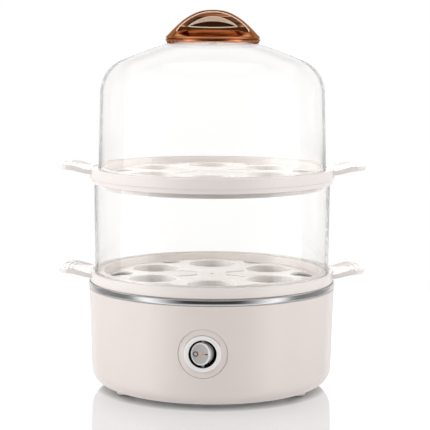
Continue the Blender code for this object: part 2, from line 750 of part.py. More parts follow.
def tongue():
    """A gently rising tongue with a round tip, pointing along +X."""
    mesh = bmesh.new()
    lift = Vector((0, 0, TONGUE_THICKNESS / 2))
    tops = []
    lows = []
    for station in range(TONGUE_STATIONS + 1):
        row = [
            tongue_point(station / TONGUE_STATIONS, math.sin(math.pi * (strip / TONGUE_STRIPS - 1 / 2)))
            for strip in range(TONGUE_STRIPS + 1)
        ]
        tops.append([mesh.verts.new(point + lift) for point in row])
        lows.append([mesh.verts.new(point - lift) for point in row])
    for rows in (tops, lows):
        for first, second in zip(rows, rows[1:]):
            for strip in range(TONGUE_STRIPS):
                mesh.faces.new((first[strip], second[strip], second[strip + 1], first[strip + 1]))
    for station in range(TONGUE_STATIONS):
        for strip in (0, TONGUE_STRIPS):
            top, ahead = tops[station][strip], tops[station + 1][strip]
            mesh.faces.new((top, ahead, lows[station + 1][strip], lows[station][strip]))
    for strip in range(TONGUE_STRIPS):
        for station in (0, TONGUE_STATIONS):
            top, beside_it = tops[station][strip], tops[station][strip + 1]
            mesh.faces.new((top, beside_it, lows[station][strip + 1], lows[station][strip]))
    bmesh.ops.recalc_face_normals(mesh, faces=mesh.faces)
    return mesh


def make_tray(name, lip_height, material):
    """A dished tray with a flange, a skirt, a locating ring, collared holes and two tongues."""
    tray = part(name, turned(tray_profile(), LARGE_STEPS), material)
    tray.location = (0, 0, lip_height)
    combine(tray, collars(), "UNION")
    combine(tray, gathered([tongue(), moved(tongue(), turn=math.pi)]), "UNION")
    combine(tray, floor_openings(), "DIFFERENCE")
    return tray


def make_tier_wall(material):
    bead_top = TIER_LOW + TIER_BEAD_HEIGHT
    profile = [
        (TIER_TOP_RADIUS, TIER_TOP),
        (TIER_LOW_RADIUS, bead_top),
        (TIER_LOW_RADIUS + TIER_BEAD, bead_top - TIER_BEAD),
        (TIER_LOW_RADIUS + TIER_BEAD, TIER_LOW),
        (TIER_LOW_RADIUS - TIER_WALL, TIER_LOW),
        (TIER_TOP_RADIUS - TIER_WALL, TIER_TOP),
    ]
    return part("tier_wall", turned(profile, LARGE_STEPS), material)


def housing_profile():
    """Half section of the housing shell, from its neck down the outside and back up the inside."""
    wall_inner = HOUSING_RADIUS - HOUSING_WALL
    ledge_low = LEDGE_TOP - LEDGE_THICKNESS
    cover_ledge_top = COVER_LEDGE_LOW + COVER_LEDGE_THICKNESS
    cover_ledge_outer = COVER_OPENING + COVER_LEDGE_THICKNESS
    corners = [
        (NECK_OUTER, NECK_TOP, 0),
        (NECK_OUTER, HOUSING_TOP, 0),
        (HOUSING_RADIUS - HOUSING_SHOULDER_EDGE, HOUSING_TOP, 0),
        (HOUSING_RADIUS, HOUSING_TOP - HOUSING_SHOULDER_EDGE, 0),
        (HOUSING_LOW_RADIUS, HOUSING_BOTTOM, HOUSING_CORNER),
        (COVER_OPENING, HOUSING_BOTTOM, 0),
        (COVER_OPENING, COVER_LEDGE_LOW, 0),
        (COVER_OPENING - COVER_LEDGE_WIDTH, COVER_LEDGE_LOW, 0),
        (COVER_OPENING - COVER_LEDGE_WIDTH, cover_ledge_top, 0),
        (cover_ledge_outer, cover_ledge_top, 0),
        (cover_ledge_outer, HOUSING_BOTTOM + HOUSING_WALL, 0),
        (HOUSING_LOW_RADIUS - HOUSING_WALL, HOUSING_BOTTOM + HOUSING_WALL, HOUSING_CORNER - HOUSING_WALL),
        (wall_inner, ledge_low, 0),
        (LEDGE_INNER, ledge_low, 0),
        (LEDGE_INNER, LEDGE_TOP, 0),
        (NECK_INNER, LEDGE_TOP, 0),
        (NECK_INNER, NECK_TOP, 0),
    ]
    return rounded(corners, CORNER_STEPS + 1)


def housing_radius(height):
    """Outer radius of the housing's tapered side at a height."""
    share = (height - HOUSING_BOTTOM) / (HOUSING_TOP - HOUSING_BOTTOM)
    return HOUSING_LOW_RADIUS + HOUSING_SIDE_DRAFT * share


def housing_envelope(inset):
    """The solid inside the housing's side, moved in by an inset."""
    low = HOUSING_CORNER
    high = HOUSING_TOP - HOUSING_SHOULDER_EDGE
    return rod(housing_radius(low) - inset, low, high, LARGE_STEPS, housing_radius(high) - inset)


def follow_side(shape, inset):
    """Trims a shape to the curve of the housing's side."""
    tool = helper(f"{shape.name}_side", housing_envelope(inset), None)
    modifier = shape.modifiers.new(tool.name, "BOOLEAN")
    modifier.operation = "INTERSECT"
    modifier.object = tool
    modifier.solver = "EXACT"


def boss_rib():
    """A gusset from a screw boss to the side wall, in the plane of X and Z."""
    wall = HOUSING_LOW_RADIUS - HOUSING_WALL / 2
    low = COVER_LEDGE_LOW + COVER_LEDGE_THICKNESS / 2
    high = BOSS_LOW + BOSS_HEIGHT - SINK
    raised = BOSS_LOW + SINK
    ledge = COVER_OPENING - COVER_LEDGE_WIDTH + SINK
    outline = [
        (SCREW_PITCH_RADIUS, raised),
        (ledge, raised),
        (ledge, low),
        (COVER_OPENING, low),
        (wall, high - BOSS_RIB_REACH),
        (wall, high),
        (SCREW_PITCH_RADIUS, high),
    ]
    half = BOSS_RIB_THICKNESS / 2
    return moved(prism(outline, -half, half), (0, 0, 0), math.pi / 2, "X")


def make_housing(material, switch_seat, gland_seat):
    """The shell, its foot stubs and screw bosses, and the moulded seat behind the switch plate."""
    housing = part("housing_shell", turned(housing_profile(), LARGE_STEPS), material)
    stubs = []
    bosses = []
    ribs = []
    sockets = []
    for angle in around(FEET, math.pi / 2):
        stub = rod(FOOT_TIP_RADIUS, FOOT_CLEAR, HOUSING_BOTTOM + FOOT_STUB_SINK, HOLE_STEPS, FOOT_RADIUS)
        stubs.append(moved(stub, polar(FOOT_PITCH_RADIUS, angle)))
        boss = rod(BOSS_RADIUS, BOSS_LOW, BOSS_LOW + BOSS_HEIGHT, SMALL_STEPS)
        bosses.append(moved(boss, polar(SCREW_PITCH_RADIUS, angle)))
        ribs.append(moved(boss_rib(), turn=angle))
        pocket = rod(PAD_RADIUS + GAP, -OVERRUN, PAD_THICKNESS + GAP, HOLE_STEPS)
        sockets.append(moved(pocket, polar(FOOT_PITCH_RADIUS, angle)))
        pilot = rod(SCREW_SHANK_RADIUS + GAP, BOSS_LOW - OVERRUN, SCREW_SEAT + SCREW_LENGTH + GAP)
        sockets.append(moved(pilot, polar(SCREW_PITCH_RADIUS, angle)))
    combine(housing, gathered(stubs), "UNION")
    combine(housing, gathered(ribs), "UNION")
    combine(housing, gathered(bosses), "UNION")
    reach = HOUSING_RADIUS + OVERRUN
    seat_radius = PLATE_RADIUS + GAP + SEAT_WALL
    seat_block = rod(seat_radius, PLATE_BACK - GAP - SEAT_LIP, reach, MEDIUM_STEPS)
    pad = combine(housing, seat_block, "UNION", switch_seat)
    follow_side(pad, HOUSING_WALL / 2)
    recess = rod(PLATE_RADIUS + GAP, PLATE_BACK - GAP, reach, MEDIUM_STEPS)
    combine(housing, recess, "DIFFERENCE", switch_seat)
    cut_out = rod(CASE_RADIUS + GAP, CASE_REAR, reach, MEDIUM_STEPS)
    combine(housing, cut_out, "DIFFERENCE", switch_seat)
    gland_hole = rod(GLAND_RADIUS + GAP, HOUSING_RADIUS / 2, reach, HOLE_STEPS)
    combine(housing, gland_hole, "DIFFERENCE", gland_seat)
    combine(housing, gathered(sockets), "DIFFERENCE")
    return housing


def make_trim_band(material):
    middle = (TRIM_LOW + TRIM_TOP) / 2
    profile = [
        (TRIM_OUTER - TRIM_BULGE, TRIM_TOP),
        (TRIM_OUTER, middle + TRIM_HEIGHT / 6),
        (TRIM_OUTER, middle - TRIM_HEIGHT / 6),
        (TRIM_OUTER - TRIM_BULGE, TRIM_LOW),
        (TRIM_INNER, TRIM_LOW),
        (TRIM_INNER, TRIM_TOP),
    ]
    return part("trim_band", turned(profile, LARGE_STEPS), material)


def pan_line():
    """The inner face of the pressed pan in half section, from its middle to its flange."""
    wall = PAN_RIM_INNER
    line = [(0, PAN_FLOOR_TOP)]
    centre = (wall - PAN_CORNER, PAN_FLOOR_TOP + PAN_CORNER)
    for step in range(CORNER_STEPS + 1):
        angle = math.pi / 2 * (step / CORNER_STEPS - 1)
        line.append((centre[0] + PAN_CORNER * math.cos(angle), centre[1] + PAN_CORNER * math.sin(angle)))
    line.append((wall, PAN_RIM_TOP))
    line.append((PAN_RIM_OUTER, PAN_RIM_TOP))
    line.append((PAN_RIM_OUTER, PAN_FLANGE_TOP))
    line.append((PAN_FLANGE_OUTER, PAN_FLANGE_TOP))
    return line


def strap_studs(half_span):
    """The two places of a strap's studs along its length."""
    reach = half_span + GAP + STRAP_THICKNESS + STRAP_FOOT / 2
    return (-reach, reach)


def make_pan(material):
    """The pressed water pan, with the studs that carry the heater welded to its underside."""
    inner = pan_line()
    outer = beside(inner, PAN_SHEET)
    pan = part("heating_pan", turned(inner + outer[::-1], LARGE_STEPS), material)
    studs = []
    top = PAN_FLOOR_LOW + STUD_SINK
    for across in strap_studs(ELEMENT_WIDTH / 2):
        studs.append(moved(rod(STUD_RADIUS, HEATER_STUD_LOW, top), (0, across, 0)))
    for across in strap_studs(THERMOSTAT_RADIUS):
        place = (-THERMOSTAT_PITCH_RADIUS, across, 0)
        studs.append(moved(rod(STUD_RADIUS, THERMOSTAT_STUD_LOW, top), place))
    combine(pan, gathered(studs), "UNION")
    return pan


def strap(name, half_span, foot_top, bridge_top, place, material):
    """A bent steel strap along Y whose feet press on the plate above and whose middle holds a piece."""
    inside = half_span + GAP
    end = inside + STRAP_THICKNESS + STRAP_FOOT
    line = [
        (-end, foot_top),
        (-inside, foot_top),
        (-inside, bridge_top),
        (inside, bridge_top),
        (inside, foot_top),
        (end, foot_top),
    ]
    outline = line + beside(line, STRAP_THICKNESS)[::-1]
    mesh = moved(prism(outline, -STRAP_WIDTH / 2, STRAP_WIDTH / 2), (0, 0, 0), math.pi / 2, "X")
    made = part(name, moved(mesh, turn=math.pi / 2), material)
    made.location = place
    holes = []
    for across in strap_studs(half_span):
        low = foot_top - STRAP_THICKNESS - OVERRUN
        holes.append(moved(rod(STUD_RADIUS + STUD_CLEARANCE, low, foot_top + OVERRUN), (0, across, 0)))
    combine(made, gathered(holes), "DIFFERENCE")
    return made


def nut(name, place, material):
    """A hexagon nut, its top at the height of its place."""
    shape = turned(
        [
            (NUT_RADIUS, 0),
            (NUT_RADIUS, -NUT_HEIGHT),
            (STUD_RADIUS + STUD_CLEARANCE, -NUT_HEIGHT),
            (STUD_RADIUS + STUD_CLEARANCE, 0),
        ],
        NUT_SIDES,
    )
    made = part(name, shape, material)
    made.location = place
    return made


def make_seal(material):
    outer = PAN_FLANGE_OUTER
    return part("pan_seal", pipe(outer, LEDGE_INNER + GAP, SEAL_LOW, SEAL_TOP, LARGE_STEPS), material)


def make_heater(aluminium, ceramic, steel, shell):
    """The heater plate, the element and thermostat strapped under the pan, and the thermal fuse."""
    plate = part("heater_plate", rod(HEATER_PLATE_RADIUS, HEATER_LOW, HEATER_TOP, LARGE_STEPS), aluminium)
    holes = []
    for across in strap_studs(ELEMENT_WIDTH / 2):
        hole = rod(STUD_RADIUS + STUD_CLEARANCE, HEATER_LOW - OVERRUN, HEATER_TOP + OVERRUN)
        holes.append(moved(hole, (0, across, 0)))
    combine(plate, gathered(holes), "DIFFERENCE")
    part("ptc_element", block(ELEMENT_LENGTH, ELEMENT_WIDTH, ELEMENT_LOW, ELEMENT_TOP), ceramic)
    strap("element_strap", ELEMENT_WIDTH / 2, HEATER_LOW - GAP, ELEMENT_LOW - GAP, (0, 0, 0), steel)
    thermostat_place = (-THERMOSTAT_PITCH_RADIUS, 0, 0)
    blades = []
    for side in (-1, 1):
        tip = THERMOSTAT_LOW - THERMOSTAT_BLADE
        blade = block(BLADE_THICKNESS, BLADE_WIDTH, tip, THERMOSTAT_LOW + SINK)
        blades.append(moved(blade, (side * THERMOSTAT_BLADE_PITCH / 2, 0, 0)))
    thermostat = part("thermostat", rod(THERMOSTAT_RADIUS, THERMOSTAT_LOW, HEATER_TOP, MEDIUM_STEPS), shell)
    thermostat.location = thermostat_place
    combine(thermostat, gathered(blades), "UNION")
    strap("thermostat_strap", THERMOSTAT_RADIUS, HEATER_TOP, THERMOSTAT_LOW - GAP, thermostat_place, steel)
    fuse_height = HEATER_LOW - GAP - FUSE_RADIUS
    half = FUSE_LENGTH / 2
    tip = half + FUSE_END_LENGTH
    fuse = turned(
        [
            (0, tip),
            (FUSE_END_RADIUS, tip),
            (FUSE_END_RADIUS, half),
            (FUSE_RADIUS, half),
            (FUSE_RADIUS, -half),
            (FUSE_END_RADIUS, -half),
            (FUSE_END_RADIUS, -tip),
            (0, -tip),
        ],
        SMALL_STEPS,
    )
    part("thermal_fuse", moved(fuse, (0, FUSE_SETBACK, fuse_height), math.pi / 2, "Y"), steel)
    for index, across in enumerate(strap_studs(ELEMENT_WIDTH / 2)):
        nut(f"element_nut_{index + 1}", (0, across, HEATER_LOW - GAP - STRAP_THICKNESS - GAP), steel)
    for index, across in enumerate(strap_studs(THERMOSTAT_RADIUS)):
        place = (-THERMOSTAT_PITCH_RADIUS, across, HEATER_TOP - STRAP_THICKNESS - GAP)
        nut(f"thermostat_nut_{index + 1}", place, steel)


def make_cover(material):
    """The bottom cover with a raised cup for each screw and three stiffening ribs."""
    cover = part("bottom_cover", rod(COVER_RADIUS, HOUSING_BOTTOM, COVER_TOP, LARGE_STEPS), material)
    cups = []
    cutters = []
    rib_length = COVER_RADIUS - COVER_LEDGE_WIDTH - GAP - SCREW_HEAD_RADIUS
    for angle in around(FEET, math.pi / 2):
        cup = rod(SCREW_CUP_RADIUS, HOUSING_BOTTOM + SINK, SCREW_CUP_TOP, HOLE_STEPS)
        cups.append(moved(cup, polar(SCREW_PITCH_RADIUS, angle)))
        rib = block(rib_length, COVER_RIB_WIDTH, HOUSING_BOTTOM + SINK, COVER_TOP + COVER_RIB_HEIGHT)
        rib = moved(rib, (SCREW_HEAD_RADIUS + rib_length / 2, 0, 0))
        cups.append(moved(rib, turn=angle + math.pi))
        bore = rod(SCREW_HEAD_RADIUS + GAP, HOUSING_BOTTOM - OVERRUN, SCREW_SEAT, HOLE_STEPS)
        cutters.append(moved(bore, polar(SCREW_PITCH_RADIUS, angle)))
    combine(cover, gathered(cups), "UNION")
    combine(cover, gathered(cutters), "DIFFERENCE")
    holes = []
    for angle in around(FEET, math.pi / 2):
        hole = rod(SCREW_SHANK_RADIUS + GAP, SCREW_SEAT - OVERRUN, SCREW_CUP_TOP + OVERRUN)
        holes.append(moved(hole, polar(SCREW_PITCH_RADIUS, angle)))
    combine(cover, gathered(holes), "DIFFERENCE")
    return cover


def make_feet_and_screws(rubber, steel):
    for index, angle in enumerate(around(FEET, math.pi / 2)):
        pad = part(f"foot_pad_{index + 1}", rod(PAD_RADIUS, 0, PAD_THICKNESS, HOLE_STEPS), rubber)
        pad.location = polar(FOOT_PITCH_RADIUS, angle)
        head_top = SCREW_SEAT - GAP
        profile = [
            (0, head_top + SCREW_LENGTH),
            (SCREW_SHANK_RADIUS, head_top + SCREW_LENGTH),
            (SCREW_SHANK_RADIUS, head_top),
            (SCREW_HEAD_RADIUS, head_top),
            (SCREW_HEAD_RADIUS, head_top - SCREW_HEAD_HEIGHT),
            (0, head_top - SCREW_HEAD_HEIGHT),
        ]
        screw = part(f"cover_screw_{index + 1}", turned(profile, SMALL_STEPS), steel)
        screw.location = polar(SCREW_PITCH_RADIUS, angle)


def seated(made, seat, place=(0, 0, 0)):
    """Hangs an object on a seat, in the seat's own frame."""
    made.parent = seat
    made.location = place
    return made


def make_switch(white, grey, brass, amber, seat):
    """A round plate, a case with its bezel, a rocker on a pivot pin, a window and three blades."""
    reach = HOUSING_RADIUS + OVERRUN
    plate = seated(part("switch_plate", rod(PLATE_RADIUS, PLATE_BACK, reach, MEDIUM_STEPS), white), seat)
    follow_side(plate, GAP)
    bezel_seat = rod(BEZEL_RADIUS + GAP, BEZEL_BACK - GAP, reach, MEDIUM_STEPS)
    combine(plate, bezel_seat, "DIFFERENCE")
    barrel = rod(CASE_RADIUS + GAP, PLATE_BACK - OVERRUN, reach, MEDIUM_STEPS)
    combine(plate, barrel, "DIFFERENCE")
    inner = CASE_RADIUS - CASE_WALL
    profile = [
        (0, CASE_REAR + CASE_BACK),
        (inner, CASE_REAR + CASE_BACK),
        (inner, BEZEL_FACE - BEZEL_EDGE / 2),
        (inner + BEZEL_EDGE / 2, BEZEL_FACE),
        (BEZEL_RADIUS - BEZEL_EDGE, BEZEL_FACE),
        (BEZEL_RADIUS, BEZEL_FACE - BEZEL_EDGE),
        (BEZEL_RADIUS, BEZEL_BACK),
        (CASE_RADIUS, BEZEL_BACK),
        (CASE_RADIUS, CASE_REAR),
        (0, CASE_REAR),
    ]
    case = seated(part("switch_case", turned(profile, MEDIUM_STEPS), white), seat)
    socket_reach = inner + PIVOT_PIN_BITE + GAP
    socket = rod(PIVOT_PIN_RADIUS + PIVOT_CLEARANCE, -socket_reach, socket_reach)
    combine(case, moved(socket, (0, 0, PIVOT_OUT), math.pi / 2, "X"), "DIFFERENCE")
    make_rocker(grey, amber, seat, inner + PIVOT_PIN_BITE)
    for index in range(BLADES):
        blade = block(BLADE_THICKNESS, BLADE_WIDTH, CASE_REAR - GAP - BLADE_LENGTH, CASE_REAR - GAP)
        made = part(f"switch_terminal_{index + 1}", blade, brass)
        seated(made, seat, ((index - (BLADES - 1) / 2) * BLADE_PITCH, 0, 0))


def make_rocker(grey, amber, seat, pin_reach):
    """The rocker at rest with its left side pressed in; its origin lies on the pivot."""
    outline = [
        (0, ROCKER_FACE_RISE),
        (-ROCKER_HALF_WIDTH, ROCKER_TOP),
        (-ROCKER_HALF_WIDTH, -ROCKER_SHOULDER_DEPTH),
        (-ROCKER_HEEL_HALF_WIDTH, -ROCKER_HEEL_DEPTH),
        (ROCKER_HEEL_HALF_WIDTH, -ROCKER_HEEL_DEPTH),
        (ROCKER_HALF_WIDTH, -ROCKER_SHOULDER_DEPTH),
        (ROCKER_HALF_WIDTH, ROCKER_TOP),
    ]
    body = moved(prism(outline, -ROCKER_HALF_HEIGHT, ROCKER_HALF_HEIGHT), (0, 0, 0), math.pi / 2, "X")
    rocker = seated(part("rocker", body, grey), seat, (0, 0, PIVOT_OUT))
    rocker.rotation_euler = (0, -ROCKER_ANGLE, 0)
    combine(rocker, rod(ROCKER_ROUND_RADIUS, -2 * ROCKER_TOP, 2 * ROCKER_TOP, MEDIUM_STEPS), "INTERSECT")
    pin = moved(rod(PIVOT_PIN_RADIUS, -pin_reach, pin_reach), (0, 0, 0), math.pi / 2, "X")
    combine(rocker, pin, "UNION")
    pocket_floor = ROCKER_FACE_RISE - WINDOW_DEPTH - GAP
    combine(rocker, rod(WINDOW_RADIUS + GAP, pocket_floor, 2 * ROCKER_TOP), "DIFFERENCE")
    window = part("indicator_window", rod(WINDOW_RADIUS, pocket_floor + GAP, ROCKER_FACE_RISE), amber)
    seated(window, rocker)


def make_gland(material, seat):
    """A soft grommet in the rear wall, with its bore along its seat's +Z."""
    side = housing_radius(GLAND_HEIGHT)
    lip = GLAND_RADIUS + GLAND_LIP
    inner_wall = (side - HOUSING_WALL) * math.cos(math.pi / LARGE_STEPS)
    behind = math.sqrt(inner_wall**2 - lip**2) - 2 * GAP
    front = housing_radius(GLAND_HEIGHT + GLAND_FLANGE_RADIUS) + GAP
    profile = [
        (GLAND_BORE_RADIUS, GLAND_FACE),
        (GLAND_FLANGE_RADIUS - GLAND_EDGE, GLAND_FACE),
        (GLAND_FLANGE_RADIUS, GLAND_FACE - GLAND_EDGE),
        (GLAND_FLANGE_RADIUS, front),
        (GLAND_RADIUS, front),
        (GLAND_RADIUS, behind),
        (lip, behind),
        (GLAND_RADIUS, behind - GLAND_TAIL),
        (GLAND_BORE_RADIUS, behind - GLAND_TAIL),
    ]
    return seated(part("cable_gland", turned(profile, HOLE_STEPS), material), seat)


def make_terminal_block(material):
    low = COVER_TOP + GAP
    block_shape = block(BLOCK_LENGTH, BLOCK_WIDTH, low, low + BLOCK_HEIGHT)
    made = part("terminal_block", block_shape, material)
    made.location = (0, BLOCK_SETBACK, 0)
    bores = []
    for side in (-1, 1):
        bore = rod(BLOCK_BORE_RADIUS, -BLOCK_WIDTH, BLOCK_WIDTH)
        place = (side * BLOCK_BORE_PITCH / 2, 0, low + BLOCK_HEIGHT / 2)
        bores.append(moved(bore, place, math.pi / 2, "X"))
    combine(made, gathered(bores), "DIFFERENCE")
    return made


def lead(name, points, material):
    """An insulated lead along a smooth curve from the first point to the last, drawn by the middle two."""
    start, leaving, arriving, end = points
    side = (leaving - start).orthogonal().normalized()
    loops = []
    for index in range(LEAD_POINTS):
        share = index / (LEAD_POINTS - 1)
        rest = 1 - share
        place = start * rest**3 + leaving * 3 * rest**2 * share
        place += arriving * 3 * rest * share**2 + end * share**3
        ahead = (leaving - start) * rest**2 + (arriving - leaving) * 2 * rest * share
        ahead += (end - arriving) * share**2
        ahead.normalize()
        side = (side - ahead * side.dot(ahead)).normalized()
        across = ahead.cross(side)
        loops.append(
            [
                place + (side * math.cos(angle) + across * math.sin(angle)) * LEAD_RADIUS
                for angle in around(LEAD_SIDES)
            ]
        )
    return part(name, lofted(loops), material)


def make_leads(live, neutral):
    """The leads inside the base, from the block through switch, fuse, heater and thermostat back."""
    blade_out = CASE_REAR - GAP - BLADE_LENGTH - GAP
    turn = Matrix.Rotation(SWITCH_TURN, 3, "Z")
    block_front = BLOCK_SETBACK - BLOCK_WIDTH / 2 - GAP
    block_bore = COVER_TOP + GAP + BLOCK_HEIGHT / 2
    fuse_height = HEATER_LOW - GAP - FUSE_RADIUS
    fuse_end = FUSE_LENGTH / 2 + FUSE_END_LENGTH + GAP
    element_end = ELEMENT_LENGTH / 2 + GAP
    element_middle = (ELEMENT_LOW + ELEMENT_TOP) / 2
    blade_low = THERMOSTAT_LOW - THERMOSTAT_BLADE - GAP
    near = THERMOSTAT_PITCH_RADIUS - THERMOSTAT_BLADE_PITCH / 2
    far = THERMOSTAT_PITCH_RADIUS + THERMOSTAT_BLADE_PITCH / 2
    first_blade = turn @ Vector((-BLADE_PITCH, -blade_out, SWITCH_HEIGHT))
    second_blade = turn @ Vector((0, -blade_out, SWITCH_HEIGHT))
    inward = Vector((0, LEAD_RUN, 0))
    block_left = Vector((-BLOCK_BORE_PITCH / 2, block_front, block_bore))
    block_right = Vector((BLOCK_BORE_PITCH / 2, block_front, block_bore))
    fuse_left = Vector((-fuse_end, FUSE_SETBACK, fuse_height))
    fuse_right = Vector((fuse_end, FUSE_SETBACK, fuse_height))
    element_right = Vector((element_end, 0, element_middle))
    element_left = Vector((-element_end, 0, element_middle))
    near_blade = Vector((-near, 0, blade_low))
    far_blade = Vector((-far, 0, blade_low))
    sideways = Vector((LEAD_RUN, 0, 0))
    down = Vector((0, 0, -LEAD_RUN))
    lead("lead_block_to_switch", (first_blade, first_blade + inward, block_left - inward, block_left), live)
    fuse_bend = fuse_left - sideways * LEAD_LONG_SHARE + down * LEAD_SHORT_SHARE
    lead("lead_switch_to_fuse", (second_blade, second_blade + inward, fuse_bend, fuse_left), live)
    fuse_turn = fuse_right + sideways * LEAD_WIDE_SHARE
    element_turn = element_right + sideways * LEAD_HALF_SHARE
    lead("lead_fuse_to_element", (fuse_right, fuse_turn, element_turn, element_right), live)
    element_turn = element_left - sideways * LEAD_SHORT_SHARE
    blade_turn = near_blade + down * LEAD_SHORT_SHARE
    lead("lead_element_to_thermostat", (element_left, element_turn, blade_turn, near_blade), neutral)
    block_turn = block_right - inward * LEAD_LONG_SHARE
    lead("lead_thermostat_to_block", (far_blade, far_blade + down, block_turn, block_right), neutral)


def main():
    clear_scene()
    white = finish("white_moulding", (0.86, 0.82, 0.78), 0.35)
    clear = finish("clear_moulding", (0.93, 0.92, 0.90), 0.08, alpha=0.25)
    copper = finish("copper_chrome", (0.72, 0.36, 0.22), 0.12, 1.0)
    chrome = finish("bright_trim", (0.75, 0.75, 0.75), 0.12, 1.0)
    steel = finish("brushed_steel", (0.62, 0.62, 0.60), 0.30, 1.0)
    rubber = finish("soft_rubber", (0.75, 0.74, 0.72), 0.70)
    aluminium = finish("cast_aluminium", (0.66, 0.66, 0.65), 0.45, 1.0)
    ceramic = finish("element_ceramic", (0.80, 0.78, 0.72), 0.60)
    phenolic = finish("thermostat_phenolic", (0.10, 0.09, 0.08), 0.50)
    grey = finish("rocker_grey", (0.42, 0.40, 0.39), 0.35)
    amber = finish("indicator_amber", (0.85, 0.55, 0.38), 0.20)
    brass = finish("terminal_brass", (0.72, 0.56, 0.28), 0.30, 1.0)
    live = finish("lead_brown", (0.28, 0.14, 0.08), 0.50)
    neutral = finish("lead_blue", (0.10, 0.18, 0.42), 0.50)
    switch_seat = radial_seat("switch_seat", SWITCH_HEIGHT, SWITCH_TURN)
    gland_seat = radial_seat("gland_seat", GLAND_HEIGHT, math.pi)
    make_housing(white, switch_seat, gland_seat)
    make_trim_band(chrome)
    make_pan(steel)
    make_seal(rubber)
    make_heater(aluminium, ceramic, steel, phenolic)
    make_cover(white)
    make_feet_and_screws(rubber, steel)
    make_switch(white, grey, brass, amber, switch_seat)
    make_gland(rubber, gland_seat)
    make_terminal_block(ceramic)
    make_leads(live, neutral)
    make_tray("lower_tray", LOWER_LIP, white)
    make_tier_wall(clear)
    make_tray("upper_tray", UPPER_LIP, white)
    make_dome(clear)
    make_knob(copper)
    make_knob_fixings(steel, rubber)


main()
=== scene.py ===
from math import atan2, cos, degrees, hypot, pi, radians, remainder, sin, sqrt, tan

import bmesh
import bpy
from mathutils import Matrix, Vector
from mathutils.geometry import delaunay_2d_cdt


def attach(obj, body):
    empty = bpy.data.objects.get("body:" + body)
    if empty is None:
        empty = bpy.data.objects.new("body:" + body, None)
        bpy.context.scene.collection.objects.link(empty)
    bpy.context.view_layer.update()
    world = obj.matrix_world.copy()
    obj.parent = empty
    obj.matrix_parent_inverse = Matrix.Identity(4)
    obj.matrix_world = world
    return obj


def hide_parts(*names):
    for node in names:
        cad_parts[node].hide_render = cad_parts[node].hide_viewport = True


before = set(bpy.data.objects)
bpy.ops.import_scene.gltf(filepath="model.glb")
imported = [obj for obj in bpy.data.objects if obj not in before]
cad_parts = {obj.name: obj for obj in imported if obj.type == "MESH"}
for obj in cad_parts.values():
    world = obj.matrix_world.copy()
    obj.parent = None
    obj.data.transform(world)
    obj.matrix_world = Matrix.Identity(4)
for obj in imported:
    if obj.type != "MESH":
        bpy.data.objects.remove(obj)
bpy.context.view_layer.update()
TURN = 2 * pi


# Camera: level with the lid's shoulder and a little over a metre away, looking down at the base.
# The focal length is long, so the trays show as thin ellipses.
LENS = 135.63
SENSOR = 36.0
EYE = (0.0020, -1.0786, 0.2466)
LOOK_DOWN = radians(6.93)
LEAN = radians(0.30)


def linked(name, data):
    """A new object of the scene."""
    made = bpy.data.objects.new(name, data)
    bpy.context.scene.collection.objects.link(made)
    return made


camera_data = bpy.data.cameras.new("studio_camera")
camera_data.lens, camera_data.sensor_width = LENS, SENSOR
camera_data.clip_start, camera_data.clip_end = 0.05, 20.0
camera = linked("studio_camera", camera_data)
camera.matrix_world = (
    Matrix.Translation(EYE) @ Matrix.Rotation(pi / 2 - LOOK_DOWN, 4, "X") @ Matrix.Rotation(LEAN, 4, "Z")
)
bpy.context.scene.camera = camera
bpy.context.scene.view_settings.view_transform = "Standard"


# Studio light: two tall soft boxes at the sides, a broad one overhead and an even room.
# The room looks white to the eye and through clear plastic, and shades off in reflections.
LAMP_TINT = (0.95, 0.98, 1.0)
SIDE_AWAY = 1.45
SIDE_HEIGHT = 0.42
SIDE_SIZE = (1.00, 1.50)
SIDE_BOXES = ((radians(-82), 16.5), (radians(80), 12.0))
TOP_PLACE = (0, 0.25, 1.55)
TOP_SIZE = (1.1, 1.1)
TOP_POWER = 5.0


def soft_box(name, place, target, size, power):
    data = bpy.data.lights.new(name, "AREA")
    data.shape, data.color, data.energy = "RECTANGLE", LAMP_TINT, power
    data.size, data.size_y = size
    made = linked(name, data)
    aim = (Vector(place) - Vector(target)).to_track_quat("Z", "Y")
    made.matrix_world = Matrix.Translation(place) @ aim.to_matrix().to_4x4()
    made.visible_glossy = False


for index, (angle, power) in enumerate(SIDE_BOXES):
    place = (SIDE_AWAY * sin(angle), -SIDE_AWAY * cos(angle), SIDE_HEIGHT)
    soft_box(f"side_box_{index + 1}", place, (0, 0, SIDE_HEIGHT / 2), SIDE_SIZE, power)
soft_box("top_box", TOP_PLACE, (0, 0, 0), TOP_SIZE, TOP_POWER)


def node(tree, kind, *terms, settings=None, **named):
    """A node with its settings and inputs; each input is given a value, or an output to link from."""
    made = tree.nodes.new(kind)
    for key, value in (settings or {}).items():
        setattr(made, key, value)
    given = list(zip(made.inputs, terms))
    given += [(made.inputs[key.replace("_", " ")], term) for key, term in named.items()]
    for socket, term in given:
        if isinstance(term, bpy.types.NodeSocket):
            tree.links.new(term, socket)
        else:
            socket.default_value = term
    return made


def maths(tree, operation, *terms):
    """The output of a Math node, or of a chain of them where there are more than two terms."""
    made = node(tree, "ShaderNodeMath", *terms[:2], settings={"operation": operation}).outputs[0]
    return maths(tree, operation, made, *terms[2:]) if len(terms) > 2 else made


def ranged(tree, value, low, high, smooth=True, **ends):
    """A value's place in a range, from 0 to 1 unless other ends are given."""
    kind = {"interpolation_type": "SMOOTHSTEP" if smooth else "LINEAR"}
    return node(
        tree, "ShaderNodeMapRange", settings=kind, Value=value, From_Min=low, From_Max=high, **ends
    ).outputs[0]


